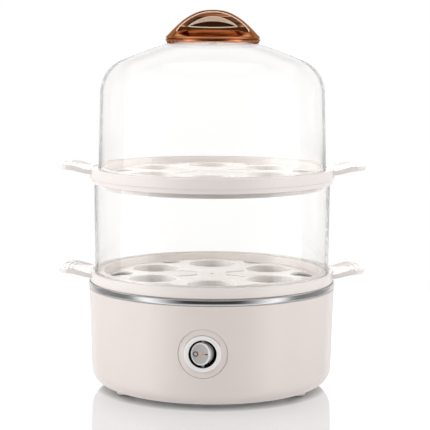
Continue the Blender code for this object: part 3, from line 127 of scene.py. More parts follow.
def ramp(tree, stops, source, low, high):
    """A grey level read from stops along a value's range."""
    made = node(tree, "ShaderNodeValToRGB", ranged(tree, source, low, high, False))
    elements = made.color_ramp.elements
    elements[0].position, elements[1].position = 0.0, 1.0
    inner = [elements.new((value - low) / (high - low)) for value, _ in stops[1:-1]]
    for element, (_, level) in zip([elements[0], *inner, elements[-1]], stops):
        element.color = (level, level, level, 1)
    return made.outputs[0]


def mixed(tree, *terms):
    return node(tree, "ShaderNodeMixShader", *terms).outputs[0]


WHITE = (1, 1, 1, 1)
ROOM_LIGHT = 0.60
ROOM_TINT = (1.0, 0.985, 0.97, 1.0)
BACKDROP = 1.06
LEFT_OVER = 0.55
# Grey level of what shiny pieces mirror: by height straight in front, and by angle from the camera's side
FRONT_STOPS = (
    (-1.0, 0.75), (-0.45, 0.55), (-0.26, 0.04), (0.06, 0.03), (0.14, 0.10), (0.30, 0.13), (0.50, 0.24),
    (0.62, 0.90), (0.71, 0.75), (0.82, 0.08), (1.0, 0.06),
)
ROUND_STOPS = (
    (0, 0.0), (18, 0.0), (27, 0.07), (36, 0.30), (48, 0.80), (60, 1.25), (68, 1.10), (79, 0.32),
    (88, 0.22), (128, 0.35), (150, 0.85), (180, 0.85),
)
OVERHEAD = (0.34, 0.58)
# Bright patch low behind the object, which the table mirrors round the reflection of the base
PATCH_LEVEL = 2.3
PATCH_LOW = (0.03, 0.08)
PATCH_HIGH = (0.27, 0.33)
PATCH_TURN = (165, 172)

world = bpy.data.worlds.new("studio_room")
bpy.context.scene.world = world
world.use_nodes = True
tree = world.node_tree
tree.nodes.clear()
rays = node(tree, "ShaderNodeLightPath").outputs
heading = node(tree, "ShaderNodeTexCoord").outputs["Generated"]
x, y, z = node(tree, "ShaderNodeSeparateXYZ", heading).outputs
turn = maths(tree, "ABSOLUTE", maths(tree, "ARCTAN2", x, maths(tree, "MULTIPLY", y, -1.0)))
turn = maths(tree, "MULTIPLY", turn, 180 / pi)
level = maths(
    tree, "MULTIPLY", ramp(tree, ROUND_STOPS, turn, 0, 180),
    maths(tree, "SUBTRACT", 1.0, ranged(tree, z, *OVERHEAD)),
)
patch = maths(
    tree, "MULTIPLY", ranged(tree, z, *PATCH_LOW), ranged(tree, z, *PATCH_HIGH, To_Min=1.0, To_Max=0.0),
    ranged(tree, turn, *PATCH_TURN), PATCH_LEVEL,
)
mirror_tone = maths(tree, "MAXIMUM", ramp(tree, FRONT_STOPS, z, -1.0, 1.0), level, patch)
# The white backdrop shows to the eye, straight or through clear plastic.
# What stands behind clear plastic is lit like the rest.
crossing = rays["Is Transmission Ray"]
through = maths(tree, "MULTIPLY", crossing, maths(tree, "LESS_THAN", rays["Diffuse Depth"], 0.5))
seen = maths(tree, "MAXIMUM", rays["Is Camera Ray"], through)
strength = maths(tree, "ADD", 1.0, maths(tree, "MULTIPLY", through, BACKDROP - 1.0))
spare = maths(tree, "SUBTRACT", 1.0, maths(tree, "MULTIPLY", crossing, 1.0 - LEFT_OVER))


def glow(strength, colour=WHITE):
    return node(tree, "ShaderNodeBackground", Color=colour, Strength=strength).outputs[0]


room_glow = glow(maths(tree, "MULTIPLY", spare, ROOM_LIGHT), ROOM_TINT)
room = mixed(tree, rays["Is Glossy Ray"], room_glow, glow(mirror_tone))
node(tree, "ShaderNodeOutputWorld", mixed(tree, seen, room, glow(strength)))


# Floor: a white gloss table top that keeps a soft shadow and a faint reflection of the base.
# It melts into the room away from the object, and isn't there for mirrors or from below.
FLOOR_HALF = 3.0
FLOOR_COLOUR = (0.22, 0.213, 0.21, 1)
FLOOR_BOUNCE = (0.84, 0.83, 0.825, 1)
FLOOR_LIFT = 0.46
FLOOR_FADE = (0.17, 0.48)
CONTACT_REACH = 0.006


def new_piece(name, mesh):
    """Links a finished mesh as an object that sits at the origin."""
    data = bpy.data.meshes.new(name)
    mesh.to_mesh(data)
    mesh.free()
    return linked(name, data)


def new_material(name):
    """An empty node material and its tree."""
    made = bpy.data.materials.new(name)
    made.use_nodes = True
    made.node_tree.nodes.clear()
    return made, made.node_tree


floor_mesh = bmesh.new()
bmesh.ops.create_grid(floor_mesh, x_segments=1, y_segments=1, size=FLOOR_HALF)
floor = new_piece("table_top", floor_mesh)
table_white, tree = new_material("table_white")
table = node(tree, "ShaderNodeBsdfPrincipled", Base_Color=FLOOR_COLOUR, Roughness=0.03, IOR=1.50)
contact = node(tree, "ShaderNodeAmbientOcclusion", settings={"samples": 8}, Distance=CONTACT_REACH)
lift = maths(tree, "MULTIPLY", contact.outputs["AO"], FLOOR_LIFT)
lift = node(tree, "ShaderNodeEmission", Color=WHITE, Strength=lift)
lifted = node(tree, "ShaderNodeAddShader", table.outputs[0], lift.outputs[0]).outputs[0]
rays = node(tree, "ShaderNodeLightPath").outputs
past = node(tree, "ShaderNodeBsdfTransparent").outputs[0]
spot = node(tree, "ShaderNodeTexCoord").outputs["Object"]
reach = node(tree, "ShaderNodeVectorMath", spot, settings={"operation": "LENGTH"}).outputs["Value"]
under = node(tree, "ShaderNodeNewGeometry").outputs["Backfacing"]
away = maths(tree, "MAXIMUM", ranged(tree, reach, *FLOOR_FADE), under)
seen = maths(tree, "MAXIMUM", rays["Is Camera Ray"], rays["Is Transmission Ray"])
bounce = node(tree, "ShaderNodeBsdfDiffuse", Color=FLOOR_BOUNCE).outputs[0]
shown = mixed(tree, seen, bounce, mixed(tree, away, lifted, past))
node(tree, "ShaderNodeOutputMaterial", mixed(tree, rays["Is Glossy Ray"], shown, past))
floor.data.materials.append(table_white)


# Housing: the round body of the base, one glossy warm-white moulding with a tapered side.
# It has a round seat for the switch in front, a hole for the cable gland behind and three foot stubs.
STEPS = 192
EASE = 0.0002
HOUSING_RADIUS = 0.0822
HOUSING_LOW_RADIUS = 0.0803
HOUSING_BOTTOM = 0.0027
HOUSING_TOP = 0.0677
HOUSING_CORNER = 0.0160
HOUSING_WALL = 0.0024
SIDE_SLOPE = (HOUSING_RADIUS - HOUSING_LOW_RADIUS) / (HOUSING_TOP - HOUSING_BOTTOM)
SHOULDER_ROUND = 0.0008
NECK_OUTER = 0.0815
NECK_INNER = 0.0806
NECK_TOP = 0.0718
LEDGE_TOP = 0.0667
LEDGE_LOW = 0.0643
LEDGE_INNER = 0.0772
COVER_OPENING = 0.0573
OPENING_ROUND = 0.0004
COVER_RING = COVER_OPENING + 0.002
COVER_LEDGE_INNER = 0.0535
COVER_LEDGE_LOW = 0.0052
COVER_LEDGE_TOP = 0.0072
SWITCH_HEIGHT = 0.0374
SWITCH_TURN = radians(-3.75)
SWITCH_BACKING = (0.0176, 0.0743, 0.0790)
SWITCH_RECESS = 0.0158
SWITCH_RECESS_BACK = 0.0771
SWITCH_CUT_OUT = 0.0103
GLAND_HEIGHT = 0.0300
GLAND_HOLE = 0.0059
WALL_INSIDE = 0.06
WALL_OUTSIDE = 0.09
FOOT_PITCH = 0.0645
FOOT_ANGLES = tuple(pi / 2 + TURN * step / 3 for step in range(3))
FOOT_SECTION = ((0, 0.0009), (0.0062, 0.0009), (0.0066, 0.0052), (0, 0.0052))
FOOT_ROUND = 0.0006
PAD_POCKET = (0.0053, -0.002, 0.0019)


def polar(radius, angle):
    return Vector((radius * cos(angle), radius * sin(angle)))


def arc(centre, radius, first, last, steps):
    """Points along an arc in the plane of a section, angles in degrees."""
    angles = [radians(first + (last - first) * step / steps) for step in range(steps + 1)]
    return [(centre[0] + radius * cos(angle), centre[1] + radius * sin(angle)) for angle in angles]


def eased(corners, radius, steps=3):
    """A closed section whose corners are rounded a little; a corner may carry its own radius."""
    points = []
    for index, corner in enumerate(corners):
        here = Vector(corner[:2])
        own = corner[2] if len(corner) > 2 else radius
        back = Vector(corners[index - 1][:2]) - here
        ahead = Vector(corners[(index + 1) % len(corners)][:2]) - here
        if own == 0 or here.x == 0:
            points.append(tuple(here))
            continue
        half = back.angle(ahead) / 2
        reach = min(own / tan(half), 0.48 * min(back.length, ahead.length))
        centre = here + (back.normalized() + ahead.normalized()).normalized() * reach / cos(half)
        start = here + back.normalized() * reach - centre
        end = here + ahead.normalized() * reach - centre
        first = atan2(start.y, start.x)
        sweep = remainder(atan2(end.y, end.x) - first, TURN)
        points += arc(centre, reach * tan(half), degrees(first), degrees(first + sweep), steps)
    return points


def welded(mesh, reach=1e-7):
    """Closes the seams of a mesh and turns its faces outwards."""
    bmesh.ops.remove_doubles(mesh, verts=mesh.verts, dist=reach)
    bmesh.ops.recalc_face_normals(mesh, faces=mesh.faces)
    return mesh


def turned(section, steps=STEPS, open_ends=False):
    """A skin turned about the Z axis from (radius, height) points."""
    mesh = bmesh.new()
    corners = [mesh.verts.new((radius, 0, height)) for radius, height in section]
    pairs = list(zip(corners, corners[1:]))
    if not open_ends and section[0][0] > 0 and section[-1][0] > 0:
        pairs.append((corners[-1], corners[0]))
    geometry = corners + [mesh.edges.new(pair) for pair in pairs]
    bmesh.ops.spin(
        mesh, geom=geometry, axis=(0, 0, 1), cent=(0, 0, 0), angle=TURN, steps=steps, use_merge=True
    )
    return welded(mesh)


def rod(radius, low, high, steps=64, top=None):
    top = radius if top is None else top
    return turned([(0, high), (top, high), (radius, low), (0, low)], steps)


def placed(mesh, matrix):
    bmesh.ops.transform(mesh, matrix=matrix, verts=mesh.verts)
    return mesh


def joined(meshes):
    """One mesh that holds several closed shapes."""
    whole = bmesh.new()
    for mesh in meshes:
        data = bpy.data.meshes.new("joined")
        mesh.to_mesh(data)
        mesh.free()
        whole.from_mesh(data)
        bpy.data.meshes.remove(data)
    return whole


def set_out(make, pitch):
    """Three like shapes at the angles of the feet."""
    return joined(placed(make(), Matrix.Translation((*polar(pitch, angle), 0))) for angle in FOOT_ANGLES)


def out_of_side(height, turn):
    """Places a shape so that its +Z points out of the base's side, with its +Y up."""
    level = Matrix.Rotation(turn, 4, "Z") @ Matrix.Translation((0, 0, height))
    return level @ Matrix.Rotation(pi / 2, 4, "X")


def settle(piece):
    """Keeps only the plain mesh that a piece's modifiers make."""
    graph = bpy.context.evaluated_depsgraph_get()
    result = bpy.data.meshes.new_from_object(piece.evaluated_get(graph))
    piece.modifiers.clear()
    piece.data = result


def carve(piece, tools, bevel=0.0, angle=40, harden=False):
    """Joins closed meshes to a piece or cuts them out, and eases the new edges."""
    helpers = []
    for operation, mesh in tools:
        helpers.append(new_piece(piece.name + "_tool", mesh))
        modifier = piece.modifiers.new("carve", "BOOLEAN")
        modifier.operation, modifier.solver, modifier.object = operation, "EXACT", helpers[-1]
    if bevel:
        edge = piece.modifiers.new("ease", "BEVEL")
        edge.width, edge.segments, edge.use_clamp_overlap = bevel, 3, True
        edge.limit_method, edge.angle_limit = "ANGLE", radians(angle)
        edge.harden_normals = harden
    settle(piece)
    for tool in helpers:
        bpy.data.objects.remove(tool)


def shade(piece, angle, surface=None, reach=2e-5):
    """Smooth shading with sharp edges; faces that lie on a known curved surface take its own normal.

    surface gives, for a point, its distance from the curved surface and the surface's normal there.
    """
    data = piece.data
    data.shade_smooth()
    data.set_sharp_from_angle(angle=radians(angle))
    if surface is None:
        return
    normals = [(0.0, 0.0, 0.0)] * len(data.loops)
    for face in data.polygons:
        distance, normal = surface(face.center)
        if abs(distance) > 40 * reach or normal.dot(face.normal) < 0.94:
            continue
        for loop in face.loop_indices:
            distance, normal = surface(data.vertices[data.loops[loop].vertex_index].co)
            if abs(distance) < reach:
                normals[loop] = tuple(normal)
    data.normals_split_custom_set(normals)


def side_surface(point):
    """The tapered side of the housing."""
    radius = hypot(point.x, point.y)
    if radius == 0 or not HOUSING_CORNER + HOUSING_BOTTOM <= point.z <= HOUSING_TOP - SHOULDER_ROUND:
        return 1.0, Vector((0, 0, 1))
    wanted = HOUSING_LOW_RADIUS + SIDE_SLOPE * (point.z - HOUSING_BOTTOM)
    return radius - wanted, Vector((point.x / radius, point.y / radius, -SIDE_SLOPE)).normalized()


housing_section = [
    (NECK_OUTER, NECK_TOP),
    (NECK_OUTER, HOUSING_TOP),
    (HOUSING_RADIUS, HOUSING_TOP, SHOULDER_ROUND),
    (HOUSING_LOW_RADIUS, HOUSING_BOTTOM, HOUSING_CORNER),
    (COVER_OPENING, HOUSING_BOTTOM, OPENING_ROUND),
    (COVER_OPENING, COVER_LEDGE_LOW),
    (COVER_LEDGE_INNER, COVER_LEDGE_LOW),
    (COVER_LEDGE_INNER, COVER_LEDGE_TOP),
    (COVER_RING, COVER_LEDGE_TOP),
    (COVER_RING, HOUSING_BOTTOM + HOUSING_WALL),
    (HOUSING_LOW_RADIUS - HOUSING_WALL, HOUSING_BOTTOM + HOUSING_WALL, HOUSING_CORNER - HOUSING_WALL),
    (HOUSING_RADIUS - HOUSING_WALL, LEDGE_LOW),
    (LEDGE_INNER, LEDGE_LOW),
    (LEDGE_INNER, LEDGE_TOP),
    (NECK_INNER, LEDGE_TOP),
    (NECK_INNER, NECK_TOP),
]
housing = new_piece("housing", turned(eased(housing_section, EASE, 12)))
switch_frame = out_of_side(SWITCH_HEIGHT, SWITCH_TURN)
gland_frame = out_of_side(GLAND_HEIGHT, pi)
carve(housing, [
    ("UNION", set_out(lambda: turned(eased(FOOT_SECTION, FOOT_ROUND), 64), FOOT_PITCH)),
    ("UNION", placed(rod(*SWITCH_BACKING, 96), switch_frame)),
    ("DIFFERENCE", placed(rod(SWITCH_RECESS, SWITCH_RECESS_BACK, WALL_OUTSIDE, 128), switch_frame)),
    ("DIFFERENCE", placed(rod(SWITCH_CUT_OUT, WALL_INSIDE, WALL_OUTSIDE, 96), switch_frame)),
    ("DIFFERENCE", placed(rod(GLAND_HOLE, WALL_INSIDE, WALL_OUTSIDE), gland_frame)),
    ("DIFFERENCE", set_out(lambda: rod(*PAD_POCKET), FOOT_PITCH)),
])
shade(housing, 30, side_surface)


def node_group(name, kind, inputs, outputs):
    """An empty node group from its sockets' names, types and defaults, and the outputs of its input node."""
    group = bpy.data.node_groups.new(name, kind)
    for in_out, sockets in (("INPUT", inputs), ("OUTPUT", outputs)):
        for title, socket_kind, *default in sockets:
            socket = group.interface.new_socket(
                name=title, in_out=in_out, socket_type="NodeSocket" + socket_kind
            )
            if default:
                socket.default_value = default[0]
    return group, group.nodes.new("NodeGroupInput").outputs


# Marks of every moulding: the faint grain, flow and dust of its surface
group, given = node_group(
    "moulding_marks", "ShaderNodeTree",
    (("Colour", "Color", (0.8, 0.8, 0.8, 1)), ("Gloss", "Float", 0.3), ("Grain Scale", "Float", 1500.0),
     ("Tone Change", "Float", 0.02)),
    (("Colour", "Color"), ("Roughness", "Float"), ("Height", "Float")),
)
spot = node(group, "ShaderNodeTexCoord").outputs["Object"]
broad = node(group, "ShaderNodeTexNoise", Vector=spot, Scale=26.0, Detail=3.0, Roughness=0.55)
fine = node(group, "ShaderNodeTexNoise", Vector=spot, Scale=given["Grain Scale"], Detail=2.0, Roughness=0.6)
centred = maths(group, "SUBTRACT", broad.outputs["Fac"], 0.5)
value = maths(group, "ADD", maths(group, "MULTIPLY", centred, given["Tone Change"]), 1.0)
tone = node(group, "ShaderNodeHueSaturation", Color=given["Colour"], Value=value).outputs[0]
gloss = maths(group, "ADD", given["Gloss"], maths(group, "MULTIPLY", centred, 0.03))
node(group, "NodeGroupOutput", tone, gloss, fine.outputs["Fac"])
MOULDING_MARKS = group
SKIN_DEPTH = 0.00001


def marked(name, group, marks, depth, strength, **shader):
    """A material whose gloss, fine relief and colour come from a group of marks."""
    made, tree = new_material(name)
    marks = node(tree, "ShaderNodeGroup", settings={"node_tree": group}, **marks).outputs
    if "Colour" in marks:
        shader["Base_Color"] = marks["Colour"]
    skin = node(tree, "ShaderNodeBump", Distance=depth, Strength=strength, Height=marks["Height"]).outputs[0]
    body = node(tree, "ShaderNodeBsdfPrincipled", Roughness=marks["Roughness"], Normal=skin, **shader)
    node(tree, "ShaderNodeOutputMaterial", body.outputs[0])
    return made


def moulded(name, colour, gloss, grain=1500.0, depth=SKIN_DEPTH, tone=0.03, strength=0.6, **shader):
    """A moulded finish: a glossy or matt solid colour with a faint skin."""
    marks = dict(Colour=(*colour, 1), Gloss=gloss, Grain_Scale=grain, Tone_Change=tone)
    return marked(name, MOULDING_MARKS, marks, depth, strength, **shader)


def finish_piece(piece, angle, materials, body, slot, *nodes):
    """Gives a piece its shading, materials, body and the CAD nodes that it stands for; its record slot is not
    used.
    """
    if angle:
        shade(piece, angle)
    piece.data.materials.clear()
    for material in materials if isinstance(materials, list) else [materials]:
        piece.data.materials.append(material)
    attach(piece, body)
    if nodes:
        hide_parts(*nodes)


WARM_WHITE = (0.815, 0.740, 0.708)
housing_white = moulded("housing_white", WARM_WHITE, 0.26, IOR=1.47, Coat_Weight=0.25, Coat_Roughness=0.08)
finish_piece(housing, None, housing_white, "base", "white_moulding", "housing_shell")


# Trim band: a bright rolled steel strip pressed round the neck of the housing.
# It stands a hair proud and shows fine brushing that runs round it.
TRIM_LOW = 0.0680
TRIM_HIGH = 0.0721
TRIM_RADIUS = 0.0825
TRIM_INNER = 0.0818
TRIM_BULGE = 0.0006

trim_section = []
for share in (step / 12 for step in range(13)):
    out_to = TRIM_RADIUS - TRIM_BULGE * (2 * share - 1) ** 4
    trim_section.append((out_to, TRIM_HIGH + (TRIM_LOW - TRIM_HIGH) * share))
trim_section += [(TRIM_INNER, TRIM_LOW), (TRIM_INNER, TRIM_HIGH)]

# Marks of brushed metal: fine lines that run round the Z axis, or across it on flat faces
group, given = node_group(
    "round_brushing", "ShaderNodeTree",
    (("Lines", "Float", 1500.0), ("Stretch", "Float", 3.0), ("Gloss", "Float", 0.2),
     ("Gloss Change", "Float", 0.1)),
    (("Roughness", "Float"), ("Height", "Float")),
)
x, y, z = node(group, "ShaderNodeSeparateXYZ", node(group, "ShaderNodeTexCoord").outputs["Object"]).outputs
squares = [maths(group, "POWER", term, 2.0) for term in (x, y)]
radius = maths(group, "SQRT", maths(group, "ADD", *squares))
lines = node(
    group, "ShaderNodeCombineXYZ", maths(group, "MULTIPLY", maths(group, "ARCTAN2", y, x), given["Stretch"]),
    maths(group, "MULTIPLY", radius, given["Lines"]), maths(group, "MULTIPLY", z, given["Lines"]),
)
noise = node(group, "ShaderNodeTexNoise", Vector=lines.outputs[0], Scale=1.0, Detail=4.0, Roughness=0.65)
noise = noise.outputs["Fac"]
change = maths(group, "MULTIPLY", maths(group, "SUBTRACT", noise, 0.5), given["Gloss Change"])
node(group, "NodeGroupOutput", maths(group, "ADD", given["Gloss"], change), noise)
BRUSHING = group


def brushed(name, colour, gloss, lines=1500.0):
    """A metal finish with fine brushing."""
    marks = dict(Lines=lines, Gloss=gloss, Gloss_Change=0.12)
    return marked(name, BRUSHING, marks, SKIN_DEPTH, 0.5, Base_Color=(*colour, 1), Metallic=1.0)


trim = new_piece("trim_strip", turned(trim_section))
trim_steel = brushed("trim_steel", (0.78, 0.78, 0.79), 0.16, 2500.0)
finish_piece(trim, 50, trim_steel, "base", "bright_trim", "trim_band")


# Water pan: a pressed steel dish that the water boils in, seated on a soft seal on the housing's ledge.
# Its wide flange carries the lower tray's skirt.
PAN_SHEET = 0.0008
PAN_FLOOR = 0.0530
PAN_FLAT = 0.02
PAN_WALL = 0.0759
PAN_RIM_TOP = 0.0759
PAN_RIM_OUTER = 0.0787
PAN_RIM_ROUND = 0.0004
PAN_FLANGE = 0.0689
PAN_FLANGE_OUTER = 0.0802
PAN_CORNER = 0.0090

corner = (PAN_WALL - PAN_CORNER, PAN_FLOOR + PAN_CORNER)
rim_middle = PAN_RIM_TOP - PAN_RIM_ROUND
pan_section = [
    (0, PAN_FLOOR),
    (PAN_FLAT, PAN_FLOOR),
    *arc(corner, PAN_CORNER, -90, 0, 14),
    (PAN_WALL, rim_middle),
    *arc((PAN_WALL + PAN_RIM_ROUND, rim_middle), PAN_RIM_ROUND, 180, 90, 4),
    *arc((PAN_RIM_OUTER - PAN_RIM_ROUND, rim_middle), PAN_RIM_ROUND, 90, 0, 4),
    (PAN_RIM_OUTER, PAN_FLANGE),
    (PAN_FLANGE_OUTER, PAN_FLANGE),
    (PAN_FLANGE_OUTER, PAN_FLANGE - PAN_SHEET),
    (PAN_RIM_OUTER - PAN_SHEET, PAN_FLANGE - PAN_SHEET),
    (PAN_RIM_OUTER - PAN_SHEET, PAN_RIM_TOP - PAN_SHEET),
    (PAN_WALL + PAN_SHEET, PAN_RIM_TOP - PAN_SHEET),
    *arc(corner, PAN_CORNER + PAN_SHEET, 0, -90, 14),
    (PAN_FLAT, PAN_FLOOR - PAN_SHEET),
    (0, PAN_FLOOR - PAN_SHEET),
]
pan = new_piece("water_pan", turned(pan_section))
pan_steel = brushed("pan_steel", (0.66, 0.655, 0.64), 0.27, 1800.0)
finish_piece(pan, 40, pan_steel, "base", "brushed_steel", "heating_pan")


# Heater and wiring, shut in under the pan: cast plate, ceramic element, thermostat, fuse and leads.
# They are held by bent steel straps on welded studs and never show from outside.
for finish, names in (
    (moulded("cast_metal", (0.60, 0.60, 0.59), 0.45, 700.0, 0.00006, Metallic=1.0), "heater_plate"),
    (moulded("fired_ceramic", (0.80, 0.78, 0.71), 0.62, 1200.0, 0.00003), "ptc_element terminal_block"),
    (moulded("dark_phenolic", (0.045, 0.038, 0.033), 0.42, 1400.0, 0.00002), "thermostat"),
    (brushed("bare_steel", (0.60, 0.595, 0.58), 0.32, 900.0),
     "element_strap thermostat_strap thermal_fuse "
     "element_nut_1 element_nut_2 thermostat_nut_1 thermostat_nut_2"),
    (brushed("stamped_brass", (0.75, 0.56, 0.27), 0.28, 1200.0),
     "switch_terminal_1 switch_terminal_2 switch_terminal_3"),
    (moulded("soft_seal", (0.62, 0.60, 0.575), 0.68, 2200.0, 0.00004), "pan_seal"),
    (moulded("brown_sleeve", (0.20, 0.09, 0.045), 0.40, 1800.0),
     "lead_block_to_switch lead_switch_to_fuse lead_fuse_to_element"),
    (moulded("blue_sleeve", (0.04, 0.11, 0.36), 0.40, 1800.0),
     "lead_element_to_thermostat lead_thermostat_to_block"),
):
    for name in names.split():
        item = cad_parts[name]
        if item.material_slots:
            item.material_slots[0].material = finish
        else:
            item.data.materials.append(finish)


# Bottom cover: a round plate in a matt warm white, let into the foot ring and held by three screws.
# Each screw sits in a deep round cup.
COVER_RADIUS = 0.0570
COVER_TOP = 0.0049
COVER_ROUND = 0.0004
COVER_EASE = 0.0002
SCREW_PITCH = 0.0470
CUP = (0.0048, 0.0033, 0.0070)
CUP_HOLLOW = (0.0038, 0.0, 0.0051)
SHANK_HOLE = (0.0019, 0.0027, 0.0090)

cover_section = [
    (0, COVER_TOP), (COVER_RADIUS, COVER_TOP), (COVER_RADIUS, HOUSING_BOTTOM), (0, HOUSING_BOTTOM)
]
cover = new_piece("base_cover", turned(eased(cover_section, COVER_ROUND)))
carve(cover, [
    ("UNION", set_out(lambda: rod(*CUP), SCREW_PITCH)),
    ("DIFFERENCE", set_out(lambda: rod(*CUP_HOLLOW), SCREW_PITCH)),
    ("DIFFERENCE", set_out(lambda: rod(*SHANK_HOLE, 32), SCREW_PITCH)),
], COVER_EASE)
cover_white = moulded("cover_white", (0.74, 0.685, 0.65), 0.50, 900.0, 0.00004)
finish_piece(cover, 35, cover_white, "base", "white_moulding", "bottom_cover")


# Cover screws and foot pads: three zinc-plated pan-head screws, and three soft pads in the foot stubs.
# One head and one pad are modelled and set out round the axis.
HEAD_RADIUS = 0.0035
HEAD_LOW = 0.0028
HEAD_TOP = 0.0048
SHANK_RADIUS = 0.0016
SHANK_TOP = 0.0148
SCREW_POINT = 0.001
THREADS = 9
THREAD_ROOT = 0.82
THREAD_START = 0.0012
THREAD_SPARE = 0.0014
PAD_RADIUS = 0.0050
PAD_TOP = 0.0016
PAD_ROUND = 0.0005
PAD_FLAT = PAD_RADIUS * 0.55
PAD_HOLLOW = 0.0002


def taken(piece):
    """The mesh of a helper piece, which is removed."""
    mesh = bmesh.new()
    mesh.from_mesh(piece.data)
    bpy.data.objects.remove(piece)
    return mesh


def screw_mesh(head_radius, head_low, head_top, shank_radius, shank_top):
    """A pan-head screw that points up, with a cross recess in its head."""
    squash = (head_top - head_low) / head_radius
    head = [(x, head_top + (y - head_top) * squash) for x, y in arc((0, head_top), head_radius, 0, -90, 8)]
    section = [(0, shank_top), (shank_radius * 0.5, shank_top), (shank_radius, shank_top - SCREW_POINT)]
    pitch = (shank_top - THREAD_SPARE - head_top) / THREADS
    for step in range(THREADS):
        high = shank_top - THREAD_START - step * pitch
        section += [(shank_radius * THREAD_ROOT, high), (shank_radius, high - pitch / 2)]
    section += [(shank_radius * THREAD_ROOT, head_top), *head[:-1], (0, head_low)]
    piece = new_piece("screw_blank", turned(section, 40))
    arm = Matrix.Diagonal((head_radius * 1.05, head_radius * 0.26, (head_top - head_low) * 1.2, 1))
    cross = []
    for turn in (0, pi / 2):
        bar = bmesh.new()
        bmesh.ops.create_cube(bar, size=1.0)
        there = Matrix.Translation((0, 0, head_low)) @ Matrix.Rotation(turn, 4, "Z")
        cross.append(("DIFFERENCE", placed(bar, there @ arm)))
    carve(piece, cross)
    return taken(piece)


def spread(tree, points, pattern, finish):
    """Ends a geometry-node tree: a pattern on points, made real and painted."""
    spots = node(tree, "GeometryNodeInstanceOnPoints", Points=points, Instance=pattern)
    real = node(tree, "GeometryNodeRealizeInstances", spots.outputs[0])
    paint = node(tree, "GeometryNodeSetMaterial", Geometry=real.outputs[0], Material=finish)
    node(tree, "NodeGroupOutput", paint.outputs[0])


def grown(piece, tree, **values):
    """Runs a geometry-node tree on a piece and keeps its plain mesh."""
    modifier = piece.modifiers.new("grow", "NODES")
    modifier.node_group = tree
    for item in tree.interface.items_tree:
        key = item.name.replace(" ", "_")
        if item.in_out == "INPUT" and key in values:
            modifier[item.identifier] = values[key]
    settle(piece)


# A pattern piece set out at equal angles round the Z axis
SET_ROUND, given = node_group(
    "set_round", "GeometryNodeTree",
    (("Pattern", "Geometry"), ("Pitch Radius", "Float", 0.05), ("First Angle", "Float", 0.0),
     ("Count", "Int", 3), ("Finish", "Material")),
    (("Geometry", "Geometry"),),
)
ring = node(
    SET_ROUND, "GeometryNodeMeshCircle", Vertices=given["Count"], Radius=given["Pitch Radius"]
).outputs[0]
angles = node(SET_ROUND, "ShaderNodeCombineXYZ", Z=given["First Angle"]).outputs[0]
ring = node(SET_ROUND, "GeometryNodeTransform", Geometry=ring, Rotation=angles).outputs[0]
spread(SET_ROUND, ring, given["Pattern"], given["Finish"])

zinc_plate = brushed("zinc_plate", (0.66, 0.67, 0.69), 0.30)
screws = new_piece("cover_screws", screw_mesh(HEAD_RADIUS, HEAD_LOW, HEAD_TOP, SHANK_RADIUS, SHANK_TOP))
pad_section = [
    (0, PAD_TOP), (PAD_RADIUS, PAD_TOP), (PAD_RADIUS, 0, PAD_ROUND), (PAD_FLAT, 0), (0, PAD_HOLLOW)
]
pad_rubber = moulded("pad_rubber", (0.30, 0.28, 0.265), 0.70, 2600.0, 0.00004)
pads = new_piece("foot_pads", turned(eased(pad_section, EASE), 64))
for piece, pitch, angle, finish, slot, name in (
    (screws, SCREW_PITCH, 35, zinc_plate, "brushed_steel", "cover_screw"),
    (pads, FOOT_PITCH, 40, pad_rubber, "soft_rubber", "foot_pad"),
):
    grown(piece, SET_ROUND, Pitch_Radius=pitch, First_Angle=FOOT_ANGLES[0], Count=3, Finish=finish)
    finish_piece(piece, angle, finish, "base", slot, *(f"{name}_{number}" for number in (1, 2, 3)))


# Switch plate: a round white boss plate that follows the housing's side inside a narrow groove.
# The rocker switch snaps into the hole in its middle.
# Clearance that stands in for touching contact
GAP = 0.0003
PLATE_RADIUS = 0.01564
PLATE_BACK = 0.0774
PLATE_EASE = 0.0003
BEZEL_SEAT = 0.0804
BEZEL_HOLE = 0.0120
BARREL_HOLE = 0.0103
CONE_HEIGHTS = (0.020, 0.055)

cone_ends = [HOUSING_LOW_RADIUS + SIDE_SLOPE * (height - HOUSING_BOTTOM) - GAP for height in CONE_HEIGHTS]
plate = new_piece("switch_boss", placed(rod(PLATE_RADIUS, PLATE_BACK, WALL_OUTSIDE, 160), switch_frame))
carve(plate, [
    ("INTERSECT", rod(cone_ends[0], *CONE_HEIGHTS, STEPS * 2, cone_ends[1])),
    ("DIFFERENCE", placed(rod(BEZEL_HOLE, BEZEL_SEAT, 0.095, 128), switch_frame)),
    ("DIFFERENCE", placed(rod(BARREL_HOLE, WALL_INSIDE, 0.095, 128), switch_frame)),
], PLATE_EASE, 60)
finish_piece(plate, 30, housing_white, "base", "white_moulding", "switch_plate")


# Switch case: a white snap-in bezel with a deep dark barrel behind it; the barrel's near-black is painted
# shade.
# The rocker turns inside the barrel on a pin that runs up and down.
BEZEL_RADIUS = 0.0117
BEZEL_BACK = 0.0807
BEZEL_FACE = 0.0823
CASE_RADIUS = 0.0100
CASE_INNER = 0.0089
CASE_REAR = 0.0693
CASE_BACK = 0.0016
BEZEL_INNER_ROUND = 0.0005
BEZEL_OUTER_ROUND = 0.0009
BARREL_EDGE = CASE_INNER + 0.0002
BARREL_FRONT = BEZEL_FACE - 0.0006
PIVOT_OUT = BEZEL_FACE - 0.0045

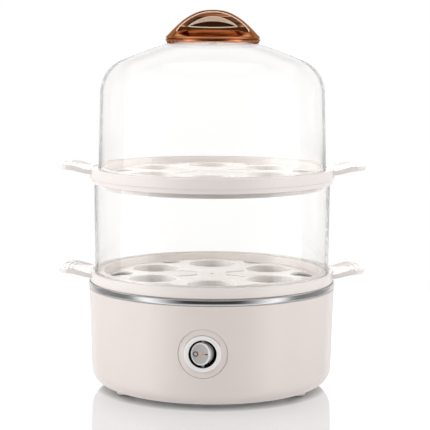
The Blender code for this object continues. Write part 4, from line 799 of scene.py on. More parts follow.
case_section = [
    (0, CASE_REAR + CASE_BACK),
    (CASE_INNER, CASE_REAR + CASE_BACK),
    (CASE_INNER, BEZEL_FACE, BEZEL_INNER_ROUND),
    (BEZEL_RADIUS, BEZEL_FACE, BEZEL_OUTER_ROUND),
    (BEZEL_RADIUS, BEZEL_BACK),
    (CASE_RADIUS, BEZEL_BACK),
    (CASE_RADIUS, CASE_REAR),
    (0, CASE_REAR),
]
case = new_piece("switch_bezel", placed(turned(eased(case_section, EASE, 6), 128), switch_frame))
barrel_black = moulded("barrel_black", (0.012, 0.011, 0.010), 0.45, 1500.0, 0.00002)
bezel_white = moulded("bezel_white", (0.90, 0.885, 0.875), 0.18, IOR=1.47)
finish_piece(case, 35, [bezel_white, barrel_black], "base", "white_moulding", "switch_case")
# Faces inside the barrel take the near-black: painted shade for the gap round the rocker
into_switch = switch_frame.inverted()
for face in case.data.polygons:
    x, y, z = into_switch @ face.center
    if hypot(x, y) < BARREL_EDGE and z < BARREL_FRONT:
        face.material_index = 1


# Rocker: a grey paddle with a dished face inside a thin rim, its left side pressed in; its rim and sides are
# painted white, widest at the right, as a painted highlight.
# It carries a ring mark and a bar mark, filled in black, and a small peach lens in the middle.
ROCKER_RADIUS = 0.0073
ROCKER_HALF_WIDTH = 0.0069
ROCKER_FACE = 0.0038
ROCKER_HOLLOW = 0.0006
ROCKER_DEPTH = 0.0034
ROCKER_SIDE = 0.0008
ROCKER_TILT = radians(-10)
ROCKER_ROUND = 0.0005
ROCKER_RIM = 0.0009
ROCKER_TRIM = 0.0014
PIN_RADIUS = 0.0010
PIN_REACH = 0.0095
WINDOW_RADIUS = 0.0010
WINDOW_PROUD = 0.00032
WINDOW_SUNK = 0.0008
MARK_PROUD = 0.00004
RING_MARK = (-0.0038, 0.0017, 0.0011)
BAR_MARK = (0.0031, 0.0011, 0.00034)

rocker_frame = switch_frame @ Matrix.Translation((0, 0, PIVOT_OUT)) @ Matrix.Rotation(ROCKER_TILT, 4, "Y")


def rocker_face(x):
    return ROCKER_FACE + ROCKER_HOLLOW * (x / ROCKER_HALF_WIDTH) ** 2


def strip(mesh, loops):
    """Faces between loops of points, added to a mesh; gives back the rows of corners."""
    rows = [[mesh.verts.new(point) for point in loop] for loop in loops]
    for first, second in zip(rows, rows[1:]):
        for index in range(len(first)):
            after = (index + 1) % len(first)
            mesh.faces.new((first[index], first[after], second[after], second[index]))
    return rows


def ringed(loops, closed_ends=True):
    """A closed skin through loops of points, its end loops fanned to their middles."""
    mesh = bmesh.new()
    rows = strip(mesh, loops)
    for row in (rows[0], rows[-1]) if closed_ends else ():
        middle = mesh.verts.new(sum((corner.co for corner in row), Vector()) / len(row))
        for index in range(len(row)):
            mesh.faces.new((row[index], row[(index + 1) % len(row)], middle))
    bmesh.ops.recalc_face_normals(mesh, faces=mesh.faces)
    return mesh


def rocker_outline(inset, trim=0.0, steps=96):
    """An oval about the paddle's middle; its right end can be trimmed."""
    angles = [TURN * step / steps for step in range(steps)]
    half = ROCKER_HALF_WIDTH - inset - trim / 2
    return [(cos(angle) * half - trim / 2, sin(angle) * (ROCKER_RADIUS - inset)) for angle in angles]


rocker_loops = []
for share in (0.12, 0.3, 0.5, 0.7, 0.85, 1.0):
    oval = rocker_outline(ROCKER_RIM, ROCKER_TRIM)
    rocker_loops.append([(x * share, y * share, rocker_face(x * share)) for x, y in oval])
for angle in (pi / 2 * step / 5 for step in range(6)):
    oval = rocker_outline(ROCKER_ROUND * (1 - sin(angle)), ROCKER_TRIM)
    rocker_loops.append([(x, y, rocker_face(x) - ROCKER_ROUND * (1 - cos(angle))) for x, y in oval])
for share_x, share_y, height in ((1, 1, 0.0), (1, 1, -ROCKER_SIDE), (0.5, 0.9, -ROCKER_DEPTH)):
    rocker_loops.append([(x * share_x, y * share_y, height) for x, y in rocker_outline(0)])
pin = placed(rod(PIN_RADIUS, -PIN_REACH, PIN_REACH, 24), Matrix.Rotation(pi / 2, 4, "X"))
rocker = new_piece("rocker_paddle", placed(joined([ringed(rocker_loops), pin]), rocker_frame))
rocker_grey = moulded("rocker_paddle_grey", (0.50, 0.485, 0.475), 0.36, 900.0, 0.00004, 0.10)
finish_piece(rocker, 40, [rocker_grey, bezel_white], "rocker", "rocker_grey", "rocker")
# The rim and sides take the bezel's white: a painted highlight on the same grey plastic, widest at the right
# where the raised side catches the light
into_rocker = rocker_frame.inverted()
for face in rocker.data.polygons:
    x, y, z = into_rocker @ face.center
    across = (x + ROCKER_TRIM / 2) / (ROCKER_HALF_WIDTH - ROCKER_RIM - ROCKER_TRIM / 2)
    if z < ROCKER_FACE - ROCKER_ROUND or hypot(across, y / (ROCKER_RADIUS - ROCKER_RIM)) > 1:
        face.material_index = 1


def on_face(centre, outline, lift):
    """An outline laid on the rocker's dished face."""
    return [(centre + x, y, rocker_face(centre + x) + lift) for x, y in outline]


centre, outer, inner = RING_MARK
loops = [
    on_face(centre, [polar(radius, TURN * step / 48) for step in range(48)], lift)
    for radius, lift in ((inner, -MARK_PROUD), (inner, MARK_PROUD), (outer, MARK_PROUD), (outer, -MARK_PROUD))
]
ring_mark = ringed(loops + loops[:1], closed_ends=False)
centre, long, wide = BAR_MARK
bar = eased([(-long, -wide), (long, -wide), (long, wide), (-long, wide)], wide * 0.6)
bar_mark = ringed([on_face(centre, bar, lift) for lift in (-MARK_PROUD, MARK_PROUD)])
switch_marks = new_piece("rocker_marks", placed(welded(joined([ring_mark, bar_mark])), rocker_frame))
mark_black = moulded("mark_black", (0.030, 0.027, 0.025), 0.40, 1800.0, 0.00001)
finish_piece(switch_marks, None, mark_black, "rocker", "rocker_grey")

window_section = [(0, ROCKER_FACE + WINDOW_PROUD)]
for angle in (radians(step) for step in range(10, 91, 10)):
    window_section.append((WINDOW_RADIUS * sin(angle), ROCKER_FACE + WINDOW_PROUD * cos(angle)))
window_section += [(WINDOW_RADIUS, ROCKER_FACE - WINDOW_SUNK), (0, ROCKER_FACE - WINDOW_SUNK)]
window = new_piece("rocker_lens", placed(turned(window_section, 48), rocker_frame))
lens_amber = moulded("lens_amber", (0.86, 0.44, 0.24), 0.14, 1500.0, 0.000004, Coat_Weight=0.5)
finish_piece(window, 50, lens_amber, "rocker", "indicator_amber", "indicator_window")


# Cable gland: a soft grommet snapped into the rear wall, with a flange outside and a lip inside.
# Its bore is open; the cable itself is not part of the object.
GLAND_BORE = 0.0036
GLAND_RADIUS = 0.0056
GLAND_FLANGE = 0.0076
GLAND_LIP = 0.0064
GLAND_FACE = 0.08350
GLAND_FRONT = 0.0817
GLAND_BEHIND = 0.0778
GLAND_END = 0.0752
BORE_ROUND = 0.0006
FLANGE_ROUND = 0.0009

gland_section = [
    (GLAND_BORE, GLAND_FACE, BORE_ROUND),
    (GLAND_FLANGE, GLAND_FACE, FLANGE_ROUND),
    (GLAND_FLANGE, GLAND_FRONT),
    (GLAND_RADIUS, GLAND_FRONT),
    (GLAND_RADIUS, GLAND_BEHIND),
    (GLAND_LIP, GLAND_BEHIND),
    (GLAND_RADIUS, GLAND_END),
    (GLAND_BORE, GLAND_END),
]
gland = new_piece("cable_grommet", placed(turned(eased(gland_section, EASE, 5), 96), gland_frame))
grommet_rubber = moulded("grommet_rubber", (0.56, 0.54, 0.52), 0.62, 2400.0, 0.00004)
finish_piece(gland, 35, grommet_rubber, "base", "soft_rubber", "cable_gland")


# Egg trays: two like mouldings in a glossy cream white, one on the pan and one on the tier wall.
# Each has a dished floor with six collared egg holes, six steam vents, slots and two side tongues.
LIPS = {"lower_tray": 0.0792, "upper_tray": 0.1480}
TRAY_RADIUS = 0.0815
TRAY_LIP_INNER = 0.0798
FLANGE_DEPTH = 0.0068
SKIRT_OUTER = 0.0802
SKIRT_INNER = 0.0792
SKIRT_DEPTH = 0.0100
CHANNEL_DEPTH = 0.0030
RING_OUTER = 0.0754
RING_LOW_OUTER = 0.0747
RING_LOW_INNER = 0.0732
RING_DEPTH = 0.0134
SEAT_DEPTH = 0.0010
RIM_OUTER = 0.0734
RIM_INNER = 0.0721
FLOOR_DROP = 0.0032
FLOOR_EDGE = 0.0050
FLOOR_EDGE_RADIUS = 0.0709
PLATEAU_RADIUS = 0.0612
FLOOR_THICKNESS = 0.0016
EGG_PITCH = 0.0445
EGG_RADIUS = 0.0155
EGG_TAPER = 0.0008
COLLAR_WALL = 0.0014
COLLAR_LOW = 0.0108
COLLAR_ROOT = 0.0005
VENT_PITCH = 0.0608
VENT_RADIUS = 0.0080
SLOT_PITCH = 0.0185
SLOT_HALF_LENGTH = 0.0061
SLOT_RADIUS = 0.0014
CENTRE_RADIUS = 0.0013
HOLE_ROUND = 0.0005
FLOOR_ROUND = 0.0012
LIP_INNER_ROUND = 0.0006
LIP_OUTER_ROUND = 0.0009
FLANGE_FOOT_ROUND = 0.0004
SKIRT_ROUND = 0.0003
RING_ROUND = 0.0005
TOP_RINGS = (PLATEAU_RADIUS, 0.0636, 0.0660, 0.0684)
UNDER_RINGS = (PLATEAU_RADIUS, 0.0650, 0.0690)
SHEET_MARGIN = 0.0004
SECTION_END = 0.0600
ORIGIN = Vector((0, 0))


def floor_height(radius, depth=0.0):
    """Height of the dished floor: level in the middle, falling towards its edge."""
    edge = FLOOR_EDGE_RADIUS if depth == 0 else RING_LOW_INNER
    fall = max(0.0, (radius - PLATEAU_RADIUS) / (edge - PLATEAU_RADIUS))
    return -FLOOR_DROP - (FLOOR_EDGE - FLOOR_DROP) * fall - depth


# Every opening of the floor: centre, half axis, radius, points and whether it has a collar
holes = []
for angle in (TURN * step / 6 for step in range(6)):
    egg = angle - pi / 2
    holes.append((polar(EGG_PITCH, egg), ORIGIN, EGG_RADIUS, 72, True))
    holes.append((polar(VENT_PITCH, angle), ORIGIN, VENT_RADIUS, 48, False))
    if abs(cos(egg)) > 0.5:
        holes.append((polar(SLOT_PITCH, egg), polar(SLOT_HALF_LENGTH, egg), SLOT_RADIUS, 24, False))
holes.append((ORIGIN, ORIGIN, CENTRE_RADIUS, 16, False))


def capsule(hole, growth=0.0):
    """Points round a circle or a slot with round ends, with their outward directions."""
    centre, axis, radius, count = hole[:4]
    points = []
    for angle in (TURN * (step + 0.5) / count for step in range(count)):
        out = polar(1, atan2(axis.y, axis.x) + angle - pi / 2)
        end = centre + axis if angle < pi else centre - axis
        points.append((end + out * (radius + growth), out))
    return points


def inside(point, hole, growth):
    """Whether a point lies in an opening that is grown by a margin."""
    offset, axis = point - hole[0], hole[1]
    along = offset.dot(axis) / axis.length_squared if axis.length_squared else 0.0
    return (offset - axis * max(-1.0, min(1.0, along))).length < hole[2] + growth


def sheet(mesh, growths, edge_radius, rings, height):
    """A level or dished sheet with openings, added to a mesh."""
    angles = [TURN * step / STEPS for step in range(STEPS)]
    openings = list(zip(holes, growths))
    points, edges = [], []
    outlines = [[polar(edge_radius, angle) for angle in angles]]
    outlines += [[point for point, out in capsule(*opening)] for opening in openings]
    for outline in outlines:
        start, count = len(points), len(outline)
        points += outline
        edges += [(start + index, start + (index + 1) % count) for index in range(count)]
    for point in (polar(radius, angle) for radius in rings for angle in angles):
        if not any(inside(point, hole, growth + SHEET_MARGIN) for hole, growth in openings):
            points.append(point)
    flat, _, faces, *_ = delaunay_2d_cdt(points, edges, [], 0, 1e-9)
    made = [mesh.verts.new((*point, height(point.length))) for point in flat]
    for face in faces:
        middle = sum((flat[index] for index in face), Vector((0, 0))) / len(face)
        if middle.length <= edge_radius and not any(inside(middle, *opening) for opening in openings):
            mesh.faces.new([made[index] for index in face])


def hole_wall(mesh, hole):
    """The wall of an opening: rounded at its top, and a collar under the floor where it has one."""
    wall = capsule(hole)
    tops = [floor_height((point + out * HOLE_ROUND).length) for point, out in wall]
    loops = []
    for angle in (pi / 2 * step / 5 for step in range(6)):
        back, drop = HOLE_ROUND * (1 - sin(angle)), HOLE_ROUND * (1 - cos(angle))
        loops.append([(*(point + out * back), top - drop) for (point, out), top in zip(wall, tops)])
    if hole[4]:
        top = -FLOOR_DROP - HOLE_ROUND
        line = [(-EGG_TAPER * share, top - (COLLAR_LOW + top) * share) for share in (0.35, 0.7)]
        half = COLLAR_WALL / 2
        line += arc((half - EGG_TAPER, half - COLLAR_LOW), half, 180, 360, 6)
        root = (COLLAR_WALL + COLLAR_ROOT, -FLOOR_DROP - FLOOR_THICKNESS - COLLAR_ROOT)
        line += arc(root, COLLAR_ROOT, 180, 90, 4)
        loops += [[(*(point + out * away), height) for point, out in wall] for away, height in line]
    else:
        loops.append([(*point, floor_height(point.length, FLOOR_THICKNESS)) for point, out in wall])
    strip(mesh, loops)


# The tray's outer half section, open at the edges of its floor
rim_corners = [
    (RIM_INNER, -FLOOR_EDGE, FLOOR_ROUND),
    (RIM_INNER, 0, RING_ROUND),
    (RIM_OUTER, 0, FLANGE_FOOT_ROUND),
    (RIM_OUTER, -SEAT_DEPTH),
    (TRAY_LIP_INNER, -SEAT_DEPTH),
    (TRAY_LIP_INNER, 0, LIP_INNER_ROUND),
    (TRAY_RADIUS, 0, LIP_OUTER_ROUND),
    (TRAY_RADIUS, -FLANGE_DEPTH, FLANGE_FOOT_ROUND),
    (SKIRT_OUTER, -FLANGE_DEPTH, SKIRT_ROUND),
    (SKIRT_OUTER, -SKIRT_DEPTH, SKIRT_ROUND),
    (SKIRT_INNER, -SKIRT_DEPTH, SKIRT_ROUND),
    (SKIRT_INNER, -CHANNEL_DEPTH),
    (RING_OUTER, -CHANNEL_DEPTH),
    (RING_LOW_OUTER, -RING_DEPTH, RING_ROUND),
    (RING_LOW_INNER, -RING_DEPTH, RING_ROUND),
    (RING_LOW_INNER, -FLOOR_EDGE - FLOOR_THICKNESS, 0),
    (SECTION_END, -FLOOR_EDGE - FLOOR_THICKNESS, 0),
    (SECTION_END, -FLOOR_EDGE, 0),
]
rim_section = [(FLOOR_EDGE_RADIUS, -FLOOR_EDGE), *eased(rim_corners, EASE, 5)[:-2]]

TONGUE_TIP = 0.1020
TONGUE_HALF_WIDTH = 0.0195
TONGUE_THICKNESS = 0.0029
TONGUE_TIP_ROUND = 0.0085
TONGUE_POWER = 2.6
TONGUE_ROOT_DROP = 0.0024
TONGUE_TIP_RISE = 0.0008
TONGUE_ROOT = 0.0803
TONGUE_EASE = 0.0011
FIRST_RIB = TONGUE_TIP - 0.0026
RIB_HALF_WIDTH = 0.00055
RIB_HEIGHT = 0.00045
RIB_SUNK = 0.0004
RIB_SPAN = 0.74
RIB_PITCH = 0.0030
RIB_PROFILE = ((-1.0, None), (-0.6, 0.75), (0.0, 1.0), (0.6, 0.75), (1.0, None))


def tip_round(across):
    """How far the tongue's end falls back from its tip, as a share, at a place across it."""
    return 1 - (1 - min(1.0, abs(across)) ** TONGUE_POWER) ** (1 / TONGUE_POWER)


def tongue_point(along, across, lift):
    side = across * TONGUE_HALF_WIDTH
    root = sqrt(TONGUE_ROOT**2 - side**2)
    tip = TONGUE_TIP - TONGUE_TIP_ROUND * tip_round(across)
    ease = along * along * (3 - 2 * along)
    return root + (tip - root) * along, side, TONGUE_TIP_RISE * ease - TONGUE_ROOT_DROP * (1 - ease) + lift


def tongue_mesh(rows=24, columns=32):
    """A closed slab round the tongue's middle surface, its edges rounded over."""
    mesh = bmesh.new()
    half = TONGUE_THICKNESS / 2
    line = [sin(pi * (column / columns - 0.5)) for column in range(columns + 1)]
    loops = []
    for along in (row / rows for row in range(rows + 1)):
        loops.append([tongue_point(along, across, half) for across in line])
        loops[-1] += [tongue_point(along, across, -half) for across in line[::-1]]
    corners = strip(mesh, loops)
    for end in (corners[0], corners[-1]):
        for column in range(columns):
            mesh.faces.new((end[column], end[column + 1], end[-2 - column], end[-1 - column]))
    bmesh.ops.recalc_face_normals(mesh, faces=mesh.faces)
    piece = new_piece("tongue_blank", mesh)
    carve(piece, [], TONGUE_EASE, 50)
    return taken(piece)


def rib_mesh(steps=28):
    """One curved rib that follows the tongue's round tip; its middle lies at the origin."""
    loops = []
    for share in (2 * step / steps - 1 for step in range(steps + 1)):
        across = RIB_SPAN * share
        x = -TONGUE_TIP_ROUND * tip_round(across) * 1.4
        height = RIB_HEIGHT * min(1.0, 6.0 * (1 - abs(share)) + 0.15)
        loops.append([
            (x + RIB_HALF_WIDTH * shift, across * TONGUE_HALF_WIDTH, height * rise if rise else -RIB_SUNK)
            for shift, rise in RIB_PROFILE
        ])
    return ringed(loops)


# A rib repeated along a tongue, each row set on the tongue's rising surface
GRIP_ROWS, given = node_group(
    "grip_rows", "GeometryNodeTree",
    (("Rib", "Geometry"), ("Rows", "Int", 3), ("First", "Float", 0.0), ("Pitch", "Float", 0.0026),
     ("Root", "Float", 0.080), ("Tip", "Float", 0.102), ("Root Height", "Float", 0.0),
     ("Tip Height", "Float", 0.0), ("Finish", "Material")),
    (("Geometry", "Geometry"),),
)
start = node(GRIP_ROWS, "ShaderNodeCombineXYZ", given["First"]).outputs[0]
back = maths(GRIP_ROWS, "MULTIPLY", given["Pitch"], -1.0)
offset = node(GRIP_ROWS, "ShaderNodeCombineXYZ", back).outputs[0]
line = node(GRIP_ROWS, "GeometryNodeMeshLine", Count=given["Rows"], Start_Location=start, Offset=offset)
spot = node(GRIP_ROWS, "ShaderNodeSeparateXYZ", node(GRIP_ROWS, "GeometryNodeInputPosition").outputs[0])
rise = ranged(
    GRIP_ROWS, spot.outputs["X"], given["Root"], given["Tip"],
    To_Min=given["Root Height"], To_Max=given["Tip Height"],
)
lifted = node(GRIP_ROWS, "ShaderNodeCombineXYZ", Z=rise).outputs[0]
places = node(GRIP_ROWS, "GeometryNodeSetPosition", Geometry=line.outputs[0], Offset=lifted).outputs[0]
spread(GRIP_ROWS, places, given["Rib"], given["Finish"])

tray_white = moulded("tray_white", (0.870, 0.810, 0.780), 0.26, 1300.0, 0.000006, IOR=1.45)
tray_shape = turned(rim_section, open_ends=True)
sheet(tray_shape, [HOLE_ROUND] * len(holes), FLOOR_EDGE_RADIUS, TOP_RINGS, floor_height)
sheet(
    tray_shape, [COLLAR_WALL + COLLAR_ROOT if hole[4] else 0.0 for hole in holes], RING_LOW_INNER,
    UNDER_RINGS, lambda radius: floor_height(radius, FLOOR_THICKNESS),
)
for hole in holes:
    hole_wall(tray_shape, hole)
welded(tray_shape, 2e-6)
ribs = new_piece("grip_ribs", rib_mesh())
grown(
    ribs, GRIP_ROWS, Rows=3, First=FIRST_RIB, Pitch=RIB_PITCH, Root=TONGUE_ROOT, Tip=TONGUE_TIP,
    Root_Height=TONGUE_THICKNESS / 2 - TONGUE_ROOT_DROP, Tip_Height=TONGUE_THICKNESS / 2 + TONGUE_TIP_RISE,
    Finish=tray_white,
)
side_tongue = joined([tongue_mesh(), taken(ribs)])
other_tongue = placed(side_tongue.copy(), Matrix.Rotation(pi, 4, "Z"))
whole_tray = joined([tray_shape, side_tongue, other_tongue])
for name, lip in LIPS.items():
    tray = new_piece(name + "_moulding", placed(whole_tray.copy(), Matrix.Translation((0, 0, lip))))
    finish_piece(tray, 34, tray_white, name, "white_moulding", name)
whole_tray.free()


# Tier wall: a clear ring that stands on the lower tray and carries the upper one.
# It tapers a little and has a thicker bead at its foot.
TIER_LOW = 0.0785
TIER_TOP = 0.1447
TIER_LOW_RADIUS = 0.0782
TIER_TOP_RADIUS = 0.0787
TIER_WALL = 0.0020
TIER_BEAD = 0.0004
TIER_BEAD_HEIGHTS = (0.0016, 0.0020)
TIER_ROUND = 0.0006
TIER_BEAD_ROUND = 0.0003
TIER_FOOT_ROUND = 0.0004
CLEAR_BEND = 1.05
CLEAR_SHINE = 1.33
CLEAR_COAT = 0.88
CLEAR_SLANTS = (0.33, 0.80)

tier_section = [
    (TIER_TOP_RADIUS, TIER_TOP, TIER_ROUND),
    (TIER_LOW_RADIUS, TIER_LOW + TIER_BEAD_HEIGHTS[1], TIER_ROUND),
    (TIER_LOW_RADIUS + TIER_BEAD, TIER_LOW + TIER_BEAD_HEIGHTS[0], TIER_BEAD_ROUND),
    (TIER_LOW_RADIUS + TIER_BEAD, TIER_LOW, TIER_BEAD_ROUND),
    (TIER_LOW_RADIUS - TIER_WALL, TIER_LOW, TIER_FOOT_ROUND),
    (TIER_TOP_RADIUS - TIER_WALL, TIER_TOP, TIER_ROUND),
]
tier = new_piece("tier_ring", turned(eased(tier_section, TIER_BEAD_ROUND, 5)))


def clear_plastic(name, face_tint, edge_tint, wave):
    """A clear moulding: colourless face on, warm grey where the wall is seen edge on, with a moulded wave."""
    made, tree = new_material(name)
    slant = node(tree, "ShaderNodeLayerWeight", Blend=0.5).outputs["Facing"]
    edge_on = ranged(tree, slant, *CLEAR_SLANTS, False)
    tint = node(tree, "ShaderNodeMix", settings={"data_type": "RGBA"}, Factor=edge_on)
    tint.inputs[6].default_value, tint.inputs[7].default_value = (*face_tint, 1), (*edge_tint, 1)
    marks = node(
        tree, "ShaderNodeGroup", settings={"node_tree": MOULDING_MARKS},
        Colour=tint.outputs[2], Grain_Scale=60.0, Tone_Change=0.01,
    ).outputs
    skin = node(tree, "ShaderNodeBump", Distance=wave, Strength=0.4, Height=marks["Height"]).outputs[0]
    coat = ranged(tree, marks["Height"], 0.0, 1.0, False, To_Min=CLEAR_COAT, To_Max=1.0)
    body = node(
        tree, "ShaderNodeBsdfPrincipled", Base_Color=marks["Colour"], Roughness=0.0, IOR=CLEAR_BEND,
        Transmission_Weight=1.0, Specular_IOR_Level=0.0, Normal=skin,
        Coat_Weight=coat, Coat_Roughness=0.03, Coat_IOR=CLEAR_SHINE,
    )
    # The lamps shine straight through the thin wall
    shadow = node(tree, "ShaderNodeLightPath").outputs["Is Shadow Ray"]
    past = node(tree, "ShaderNodeBsdfTransparent", Color=(*face_tint, 1)).outputs[0]
    node(tree, "ShaderNodeOutputMaterial", mixed(tree, shadow, body.outputs[0], past))
    return made


clear_wall = clear_plastic("clear_wall", (0.981, 0.979, 0.973), (0.960, 0.948, 0.941), 0.00008)
finish_piece(tier, 40, clear_wall, "tier", "clear_moulding", "tier_wall")


# Dome: a clear lid in one moulding, with a rounded shoulder, a low crown and a beaded rim.
# It stands inside the upper tray's lip.
DOME_LOW = 0.1473
DOME_APEX = 0.2350
DOME_RIM = 0.0763
DOME_BEAD = 0.0005
DOME_FOOT = DOME_LOW + 0.0022
DOME_WALL = 0.0019
DOME_DRAFT = 0.0022
DOME_CROWN = 0.1300
DOME_SHOULDER = 0.0270
DOME_BEAD_STEPS = (0.0006, 0.0009)
RIM_EASE = 0.0001
RIM_ROUND = 0.0004


def dome_line(inset):
    """Half section of the dome from its apex to above the foot of its wall, moved in by an inset."""
    crown, shoulder = DOME_CROWN - inset, DOME_SHOULDER - inset
    centre, foot = DOME_APEX - DOME_CROWN, DOME_RIM - DOME_BEAD - inset
    lean = atan2(DOME_DRAFT, DOME_APEX - DOME_LOW)
    low, high = centre, DOME_APEX
    for _ in range(60):
        height = (low + high) / 2
        across = foot - (height - DOME_FOOT) * tan(lean) - shoulder / cos(lean)
        if hypot(across, height - centre) < crown - shoulder:
            low = height
        else:
            high = height
    meet = degrees(atan2(height - centre, across))
    line = [(0, DOME_APEX - inset), *arc((0, centre), crown, 90, meet, 20)[1:]]
    line += arc((across, height), shoulder, meet, degrees(lean), 20)[1:]
    return line + [(foot - (height - DOME_FOOT) * tan(lean) * 0.5, (height + DOME_FOOT) / 2)]


dome_inner = DOME_RIM - DOME_BEAD - DOME_WALL
dome_rim = [
    (DOME_RIM - DOME_BEAD, DOME_FOOT),
    (DOME_RIM - RIM_EASE, DOME_FOOT - DOME_BEAD_STEPS[0]),
    (DOME_RIM, DOME_FOOT - DOME_BEAD_STEPS[1]),
    (DOME_RIM, DOME_LOW + RIM_ROUND),
    (DOME_RIM - RIM_EASE, DOME_LOW + RIM_EASE),
    (DOME_RIM - RIM_ROUND, DOME_LOW),
    (dome_inner + RIM_ROUND, DOME_LOW),
    (dome_inner + RIM_EASE, DOME_LOW + RIM_EASE),
    (dome_inner, DOME_LOW + RIM_ROUND),
]
dome = new_piece("dome_lid", turned(dome_line(0) + dome_rim + dome_line(DOME_WALL)[::-1]))
clear_lid = clear_plastic("clear_lid", (0.981, 0.980, 0.975), (0.966, 0.956, 0.949), 0.00006)
finish_piece(dome, 40, clear_lid, "lid", "clear_moulding", "lid_dome")


# Knob: a copper-plated button, round at its foot and drawn up into a broad grip across the lid.
# Each flank has a crescent recess for the fingers.
KNOB_LOW = 0.23145
KNOB_RADIUS = 0.0314
KNOB_HEIGHT = 0.0209
# Outline from the side and half section of the flanks: shares of the knob's height and radius
KNOB_SIDE_SHARES = (
    (0.000, 0.972), (0.008, 0.990), (0.017, 0.999), (0.030, 1.000), (0.056, 1.000), (0.066, 0.998),
    (0.074, 0.970), (0.088, 0.970), (0.096, 0.997), (0.122, 0.990), (0.146, 0.983), (0.165, 0.975),
    (0.240, 0.928), (0.380, 0.838), (0.530, 0.735), (0.685, 0.615), (0.830, 0.465), (0.935, 0.305),
    (0.985, 0.155), (1.000, 0.000),
)
KNOB_FLANK_SHARES = (
    (0.150, 0.960), (0.190, 0.760), (0.250, 0.560), (0.340, 0.430), (0.460, 0.370), (0.620, 0.350),
    (0.800, 0.335), (1.050, 0.320),
)
# Radii at which the underside is fitted to the dome's crown
KNOB_UNDER = (0.0290, 0.024, 0.018, 0.010, 0.004)
CRESCENT_HALF_LENGTH = 0.0162
CRESCENT_FLOOR = 0.24104
CRESCENT_HEIGHT = 0.0064
CRESCENT_SAG = 0.0006
CRESCENT_WEB = 0.0046
CRESCENT_LEAN = 0.0006
KNOB_EASE = 0.00022
EDGE_BEAD = 0.00036
BROW_SHARE = 0.54
BROW_DEPTH = 0.0014
BROW_LAP = 0.0002
CUTTER_REACH = 0.045
RECESS_REACH = 0.035


def knob_line(shares, steps=6):
    """A smooth line of (distance, height) points through shares of the knob's height and radius."""
    points = [Vector((KNOB_RADIUS * share, KNOB_LOW + KNOB_HEIGHT * height)) for height, share in shares]
    last = len(points) - 1
    line = []
    for index in range(last):
        a, b, c, d = (points[max(0, min(last, index + k))] for k in (-1, 0, 1, 2))
        for t in (step / steps for step in range(steps)):
            bend = 2 * b + (c - a) * t + (2 * a - 5 * b + 4 * c - d) * t * t + (3 * b - a - 3 * c + d) * t**3
            line.append(tuple(bend / 2))
    return line + [tuple(points[-1])]


side_line, flank_line = knob_line(KNOB_SIDE_SHARES), knob_line(KNOB_FLANK_SHARES)
under = [(r, DOME_APEX - DOME_CROWN + sqrt(DOME_CROWN**2 - r**2) + GAP) for r in KNOB_UNDER]
knob_section = [*knob_line(KNOB_SIDE_SHARES[::-1]), *under, (0, DOME_APEX + GAP)]
knob = new_piece("lid_grip", turned(knob_section))
crescent = []
for step in range(80):
    rise = CRESCENT_HEIGHT if step <= 20 or step >= 60 else -CRESCENT_SAG
    share = (step / 20 if step <= 20 else 2 - step / 20 if step <= 60 else step / 20 - 4)
    crescent.append((share * CRESCENT_HALF_LENGTH, CRESCENT_FLOOR + rise * (1 - share**2)))
crescent_middle = CRESCENT_FLOOR + CRESCENT_HEIGHT * 0.4


def recess_depth(height):
    """How far the recess floor stands from the knob's middle plane: upright below, leaning in above."""
    share = max(0.0, (height - CRESCENT_FLOOR) / CRESCENT_HEIGHT - 0.5) / 0.5
    return CRESCENT_WEB / 2 - CRESCENT_LEAN * share**1.5


flanks, recesses = [], []
for side in (1, -1):
    outline = [*flank_line, (CUTTER_REACH, flank_line[-1][1]), (CUTTER_REACH, flank_line[0][1])]
    ends = [[(x, side * y, z) for y, z in outline] for x in (-CUTTER_REACH, CUTTER_REACH)]
    flanks.append(("DIFFERENCE", ringed(ends)))
    loops = []
    for share in (0.06, 0.25, 0.45, 0.65, 0.83, 1.0):
        loop = [(x * share, crescent_middle + (z - crescent_middle) * share) for x, z in crescent]
        loops.append([(x, side * recess_depth(z), z) for x, z in loop])
    loops.append([(x, side * RECESS_REACH, z) for x, z in crescent])
    recesses.append(("DIFFERENCE", ringed(loops)))
knob.data.shade_smooth()
carve(knob, flanks + recesses, KNOB_EASE, 25, harden=True)


def read_off(line, height):
    """The distance from the axis at which a line through (distance, height) points reaches a height."""
    for (first, low), (second, high) in zip(line, line[1:]):
        if min(low, high) <= height <= max(low, high) and low != high:
            return first + (second - first) * (height - low) / (high - low)
    return line[-1][0]


def bead(points, closed):
    """A fine round bead along a line of points."""
    loops = []
    points = [Vector(point) for point in points]
    last = len(points) - 1
    for index, point in enumerate(points):
        after = (index + 1) % (last + 1) if closed else min(last, index + 1)
        before = index - 1 if closed else max(0, index - 1)
        across = (points[after] - points[before]).normalized().to_track_quat("Z", "Y")
        spokes = [across @ Vector((*polar(1, TURN * step / 8), 0)) for step in range(8)]
        loops.append([point + spoke * EDGE_BEAD for spoke in spokes])
    return ringed(loops + loops[:1], closed_ends=False) if closed else ringed(loops)
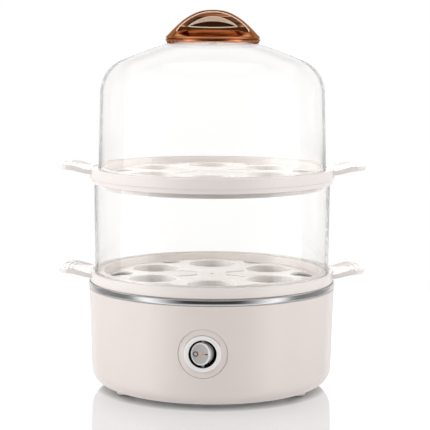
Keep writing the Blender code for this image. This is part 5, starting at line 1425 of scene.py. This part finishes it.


# Fine beads along each crescent and the ridge, and a brow over each recess, in pale cream: painted highlights
# where the copper catches the light
painted_highlight_lines = []
for side in (1, -1):
    painted_highlight_lines.append(bead([(x, side * read_off(flank_line, z), z) for x, z in crescent], True))
    ridge = []
    for step in range(61):
        height = KNOB_LOW + KNOB_HEIGHT * (0.31 + 0.615 * sin(pi / 2 * step / 60))
        across, out_to = read_off(flank_line, height), read_off(side_line, height)
        ridge.append((sqrt(max(0.0, out_to**2 - across**2)), side * across, height))
    painted_highlight_lines.append(bead(ridge + [(-x, y, z) for x, y, z in ridge[-2::-1]], False))
    brow = []
    for share in (step / 20 - 1 for step in range(1, 40)):
        x, rise = share * CRESCENT_HALF_LENGTH, CRESCENT_HEIGHT * (1 - share**2)
        top, low = CRESCENT_FLOOR + rise, CRESCENT_FLOOR + rise * BROW_SHARE
        face = side * read_off(flank_line, top)
        deep = face - side * BROW_DEPTH * (1 - share**2)
        brow.append([(x, face, top), (x, deep, low), (x, deep, top + BROW_LAP)])
    painted_highlight_lines.append(ringed(brow))
knob_painted_highlights = new_piece("lid_grip_edges", welded(joined(painted_highlight_lines)))

# A mirror-bright copper plating over moulded plastic, with a slight ripple
copper_plate = moulded(
    "copper_plate", (0.82, 0.325, 0.145), 0.05, 160.0, 0.000012, strength=0.5, Metallic=1.0,
    Specular_Tint=(0.36, 0.30, 0.27, 1),
)
finish_piece(knob, 35, copper_plate, "lid", "copper_chrome", "lid_knob")
# Pale cream, not metal: the painted highlight of the beads and brows
edge_gleam = moulded("edge_gleam", (1.0, 0.82, 0.66), 0.25, 400.0, 0.000004)
finish_piece(knob_painted_highlights, 60, edge_gleam, "lid", "copper_chrome")


# Knob washer and screw: a soft washer under the dome and a pan-head screw up into the knob.
# They pull the knob down onto the crown.
WASHER_BORE = 0.0021
WASHER_RADIUS = 0.0070
WASHER_LOW = 0.2315
WASHER_TOP = 0.2326
WASHER_ROUND = 0.0003
KNOB_HEAD_RADIUS = 0.0038
KNOB_HEAD_LOW = WASHER_LOW - 0.0025
KNOB_HEAD_TOP = WASHER_LOW - 0.0003
KNOB_SHANK_RADIUS = 0.0017
KNOB_SCREW_TIP = 0.2385

washer_section = [
    (WASHER_BORE, WASHER_TOP),
    (WASHER_RADIUS, WASHER_TOP),
    (WASHER_RADIUS, WASHER_LOW),
    (WASHER_BORE, WASHER_LOW),
]
washer = new_piece("crown_washer", turned(eased(washer_section, WASHER_ROUND), 64))
washer_clear = moulded("washer_clear", (0.93, 0.92, 0.91), 0.50, 2200.0, 0.00002)
finish_piece(washer, 35, washer_clear, "lid", "soft_rubber", "knob_washer")
grip_screw = new_piece("grip_screw", screw_mesh(
    KNOB_HEAD_RADIUS, KNOB_HEAD_LOW, KNOB_HEAD_TOP, KNOB_SHANK_RADIUS, KNOB_SCREW_TIP
))
satin_nickel = moulded("satin_nickel", (0.90, 0.885, 0.87), 0.50, 900.0, 0.00001, 0.05, Metallic=0.4)
finish_piece(grip_screw, 35, satin_nickel, "lid", "brushed_steel", "knob_screw")
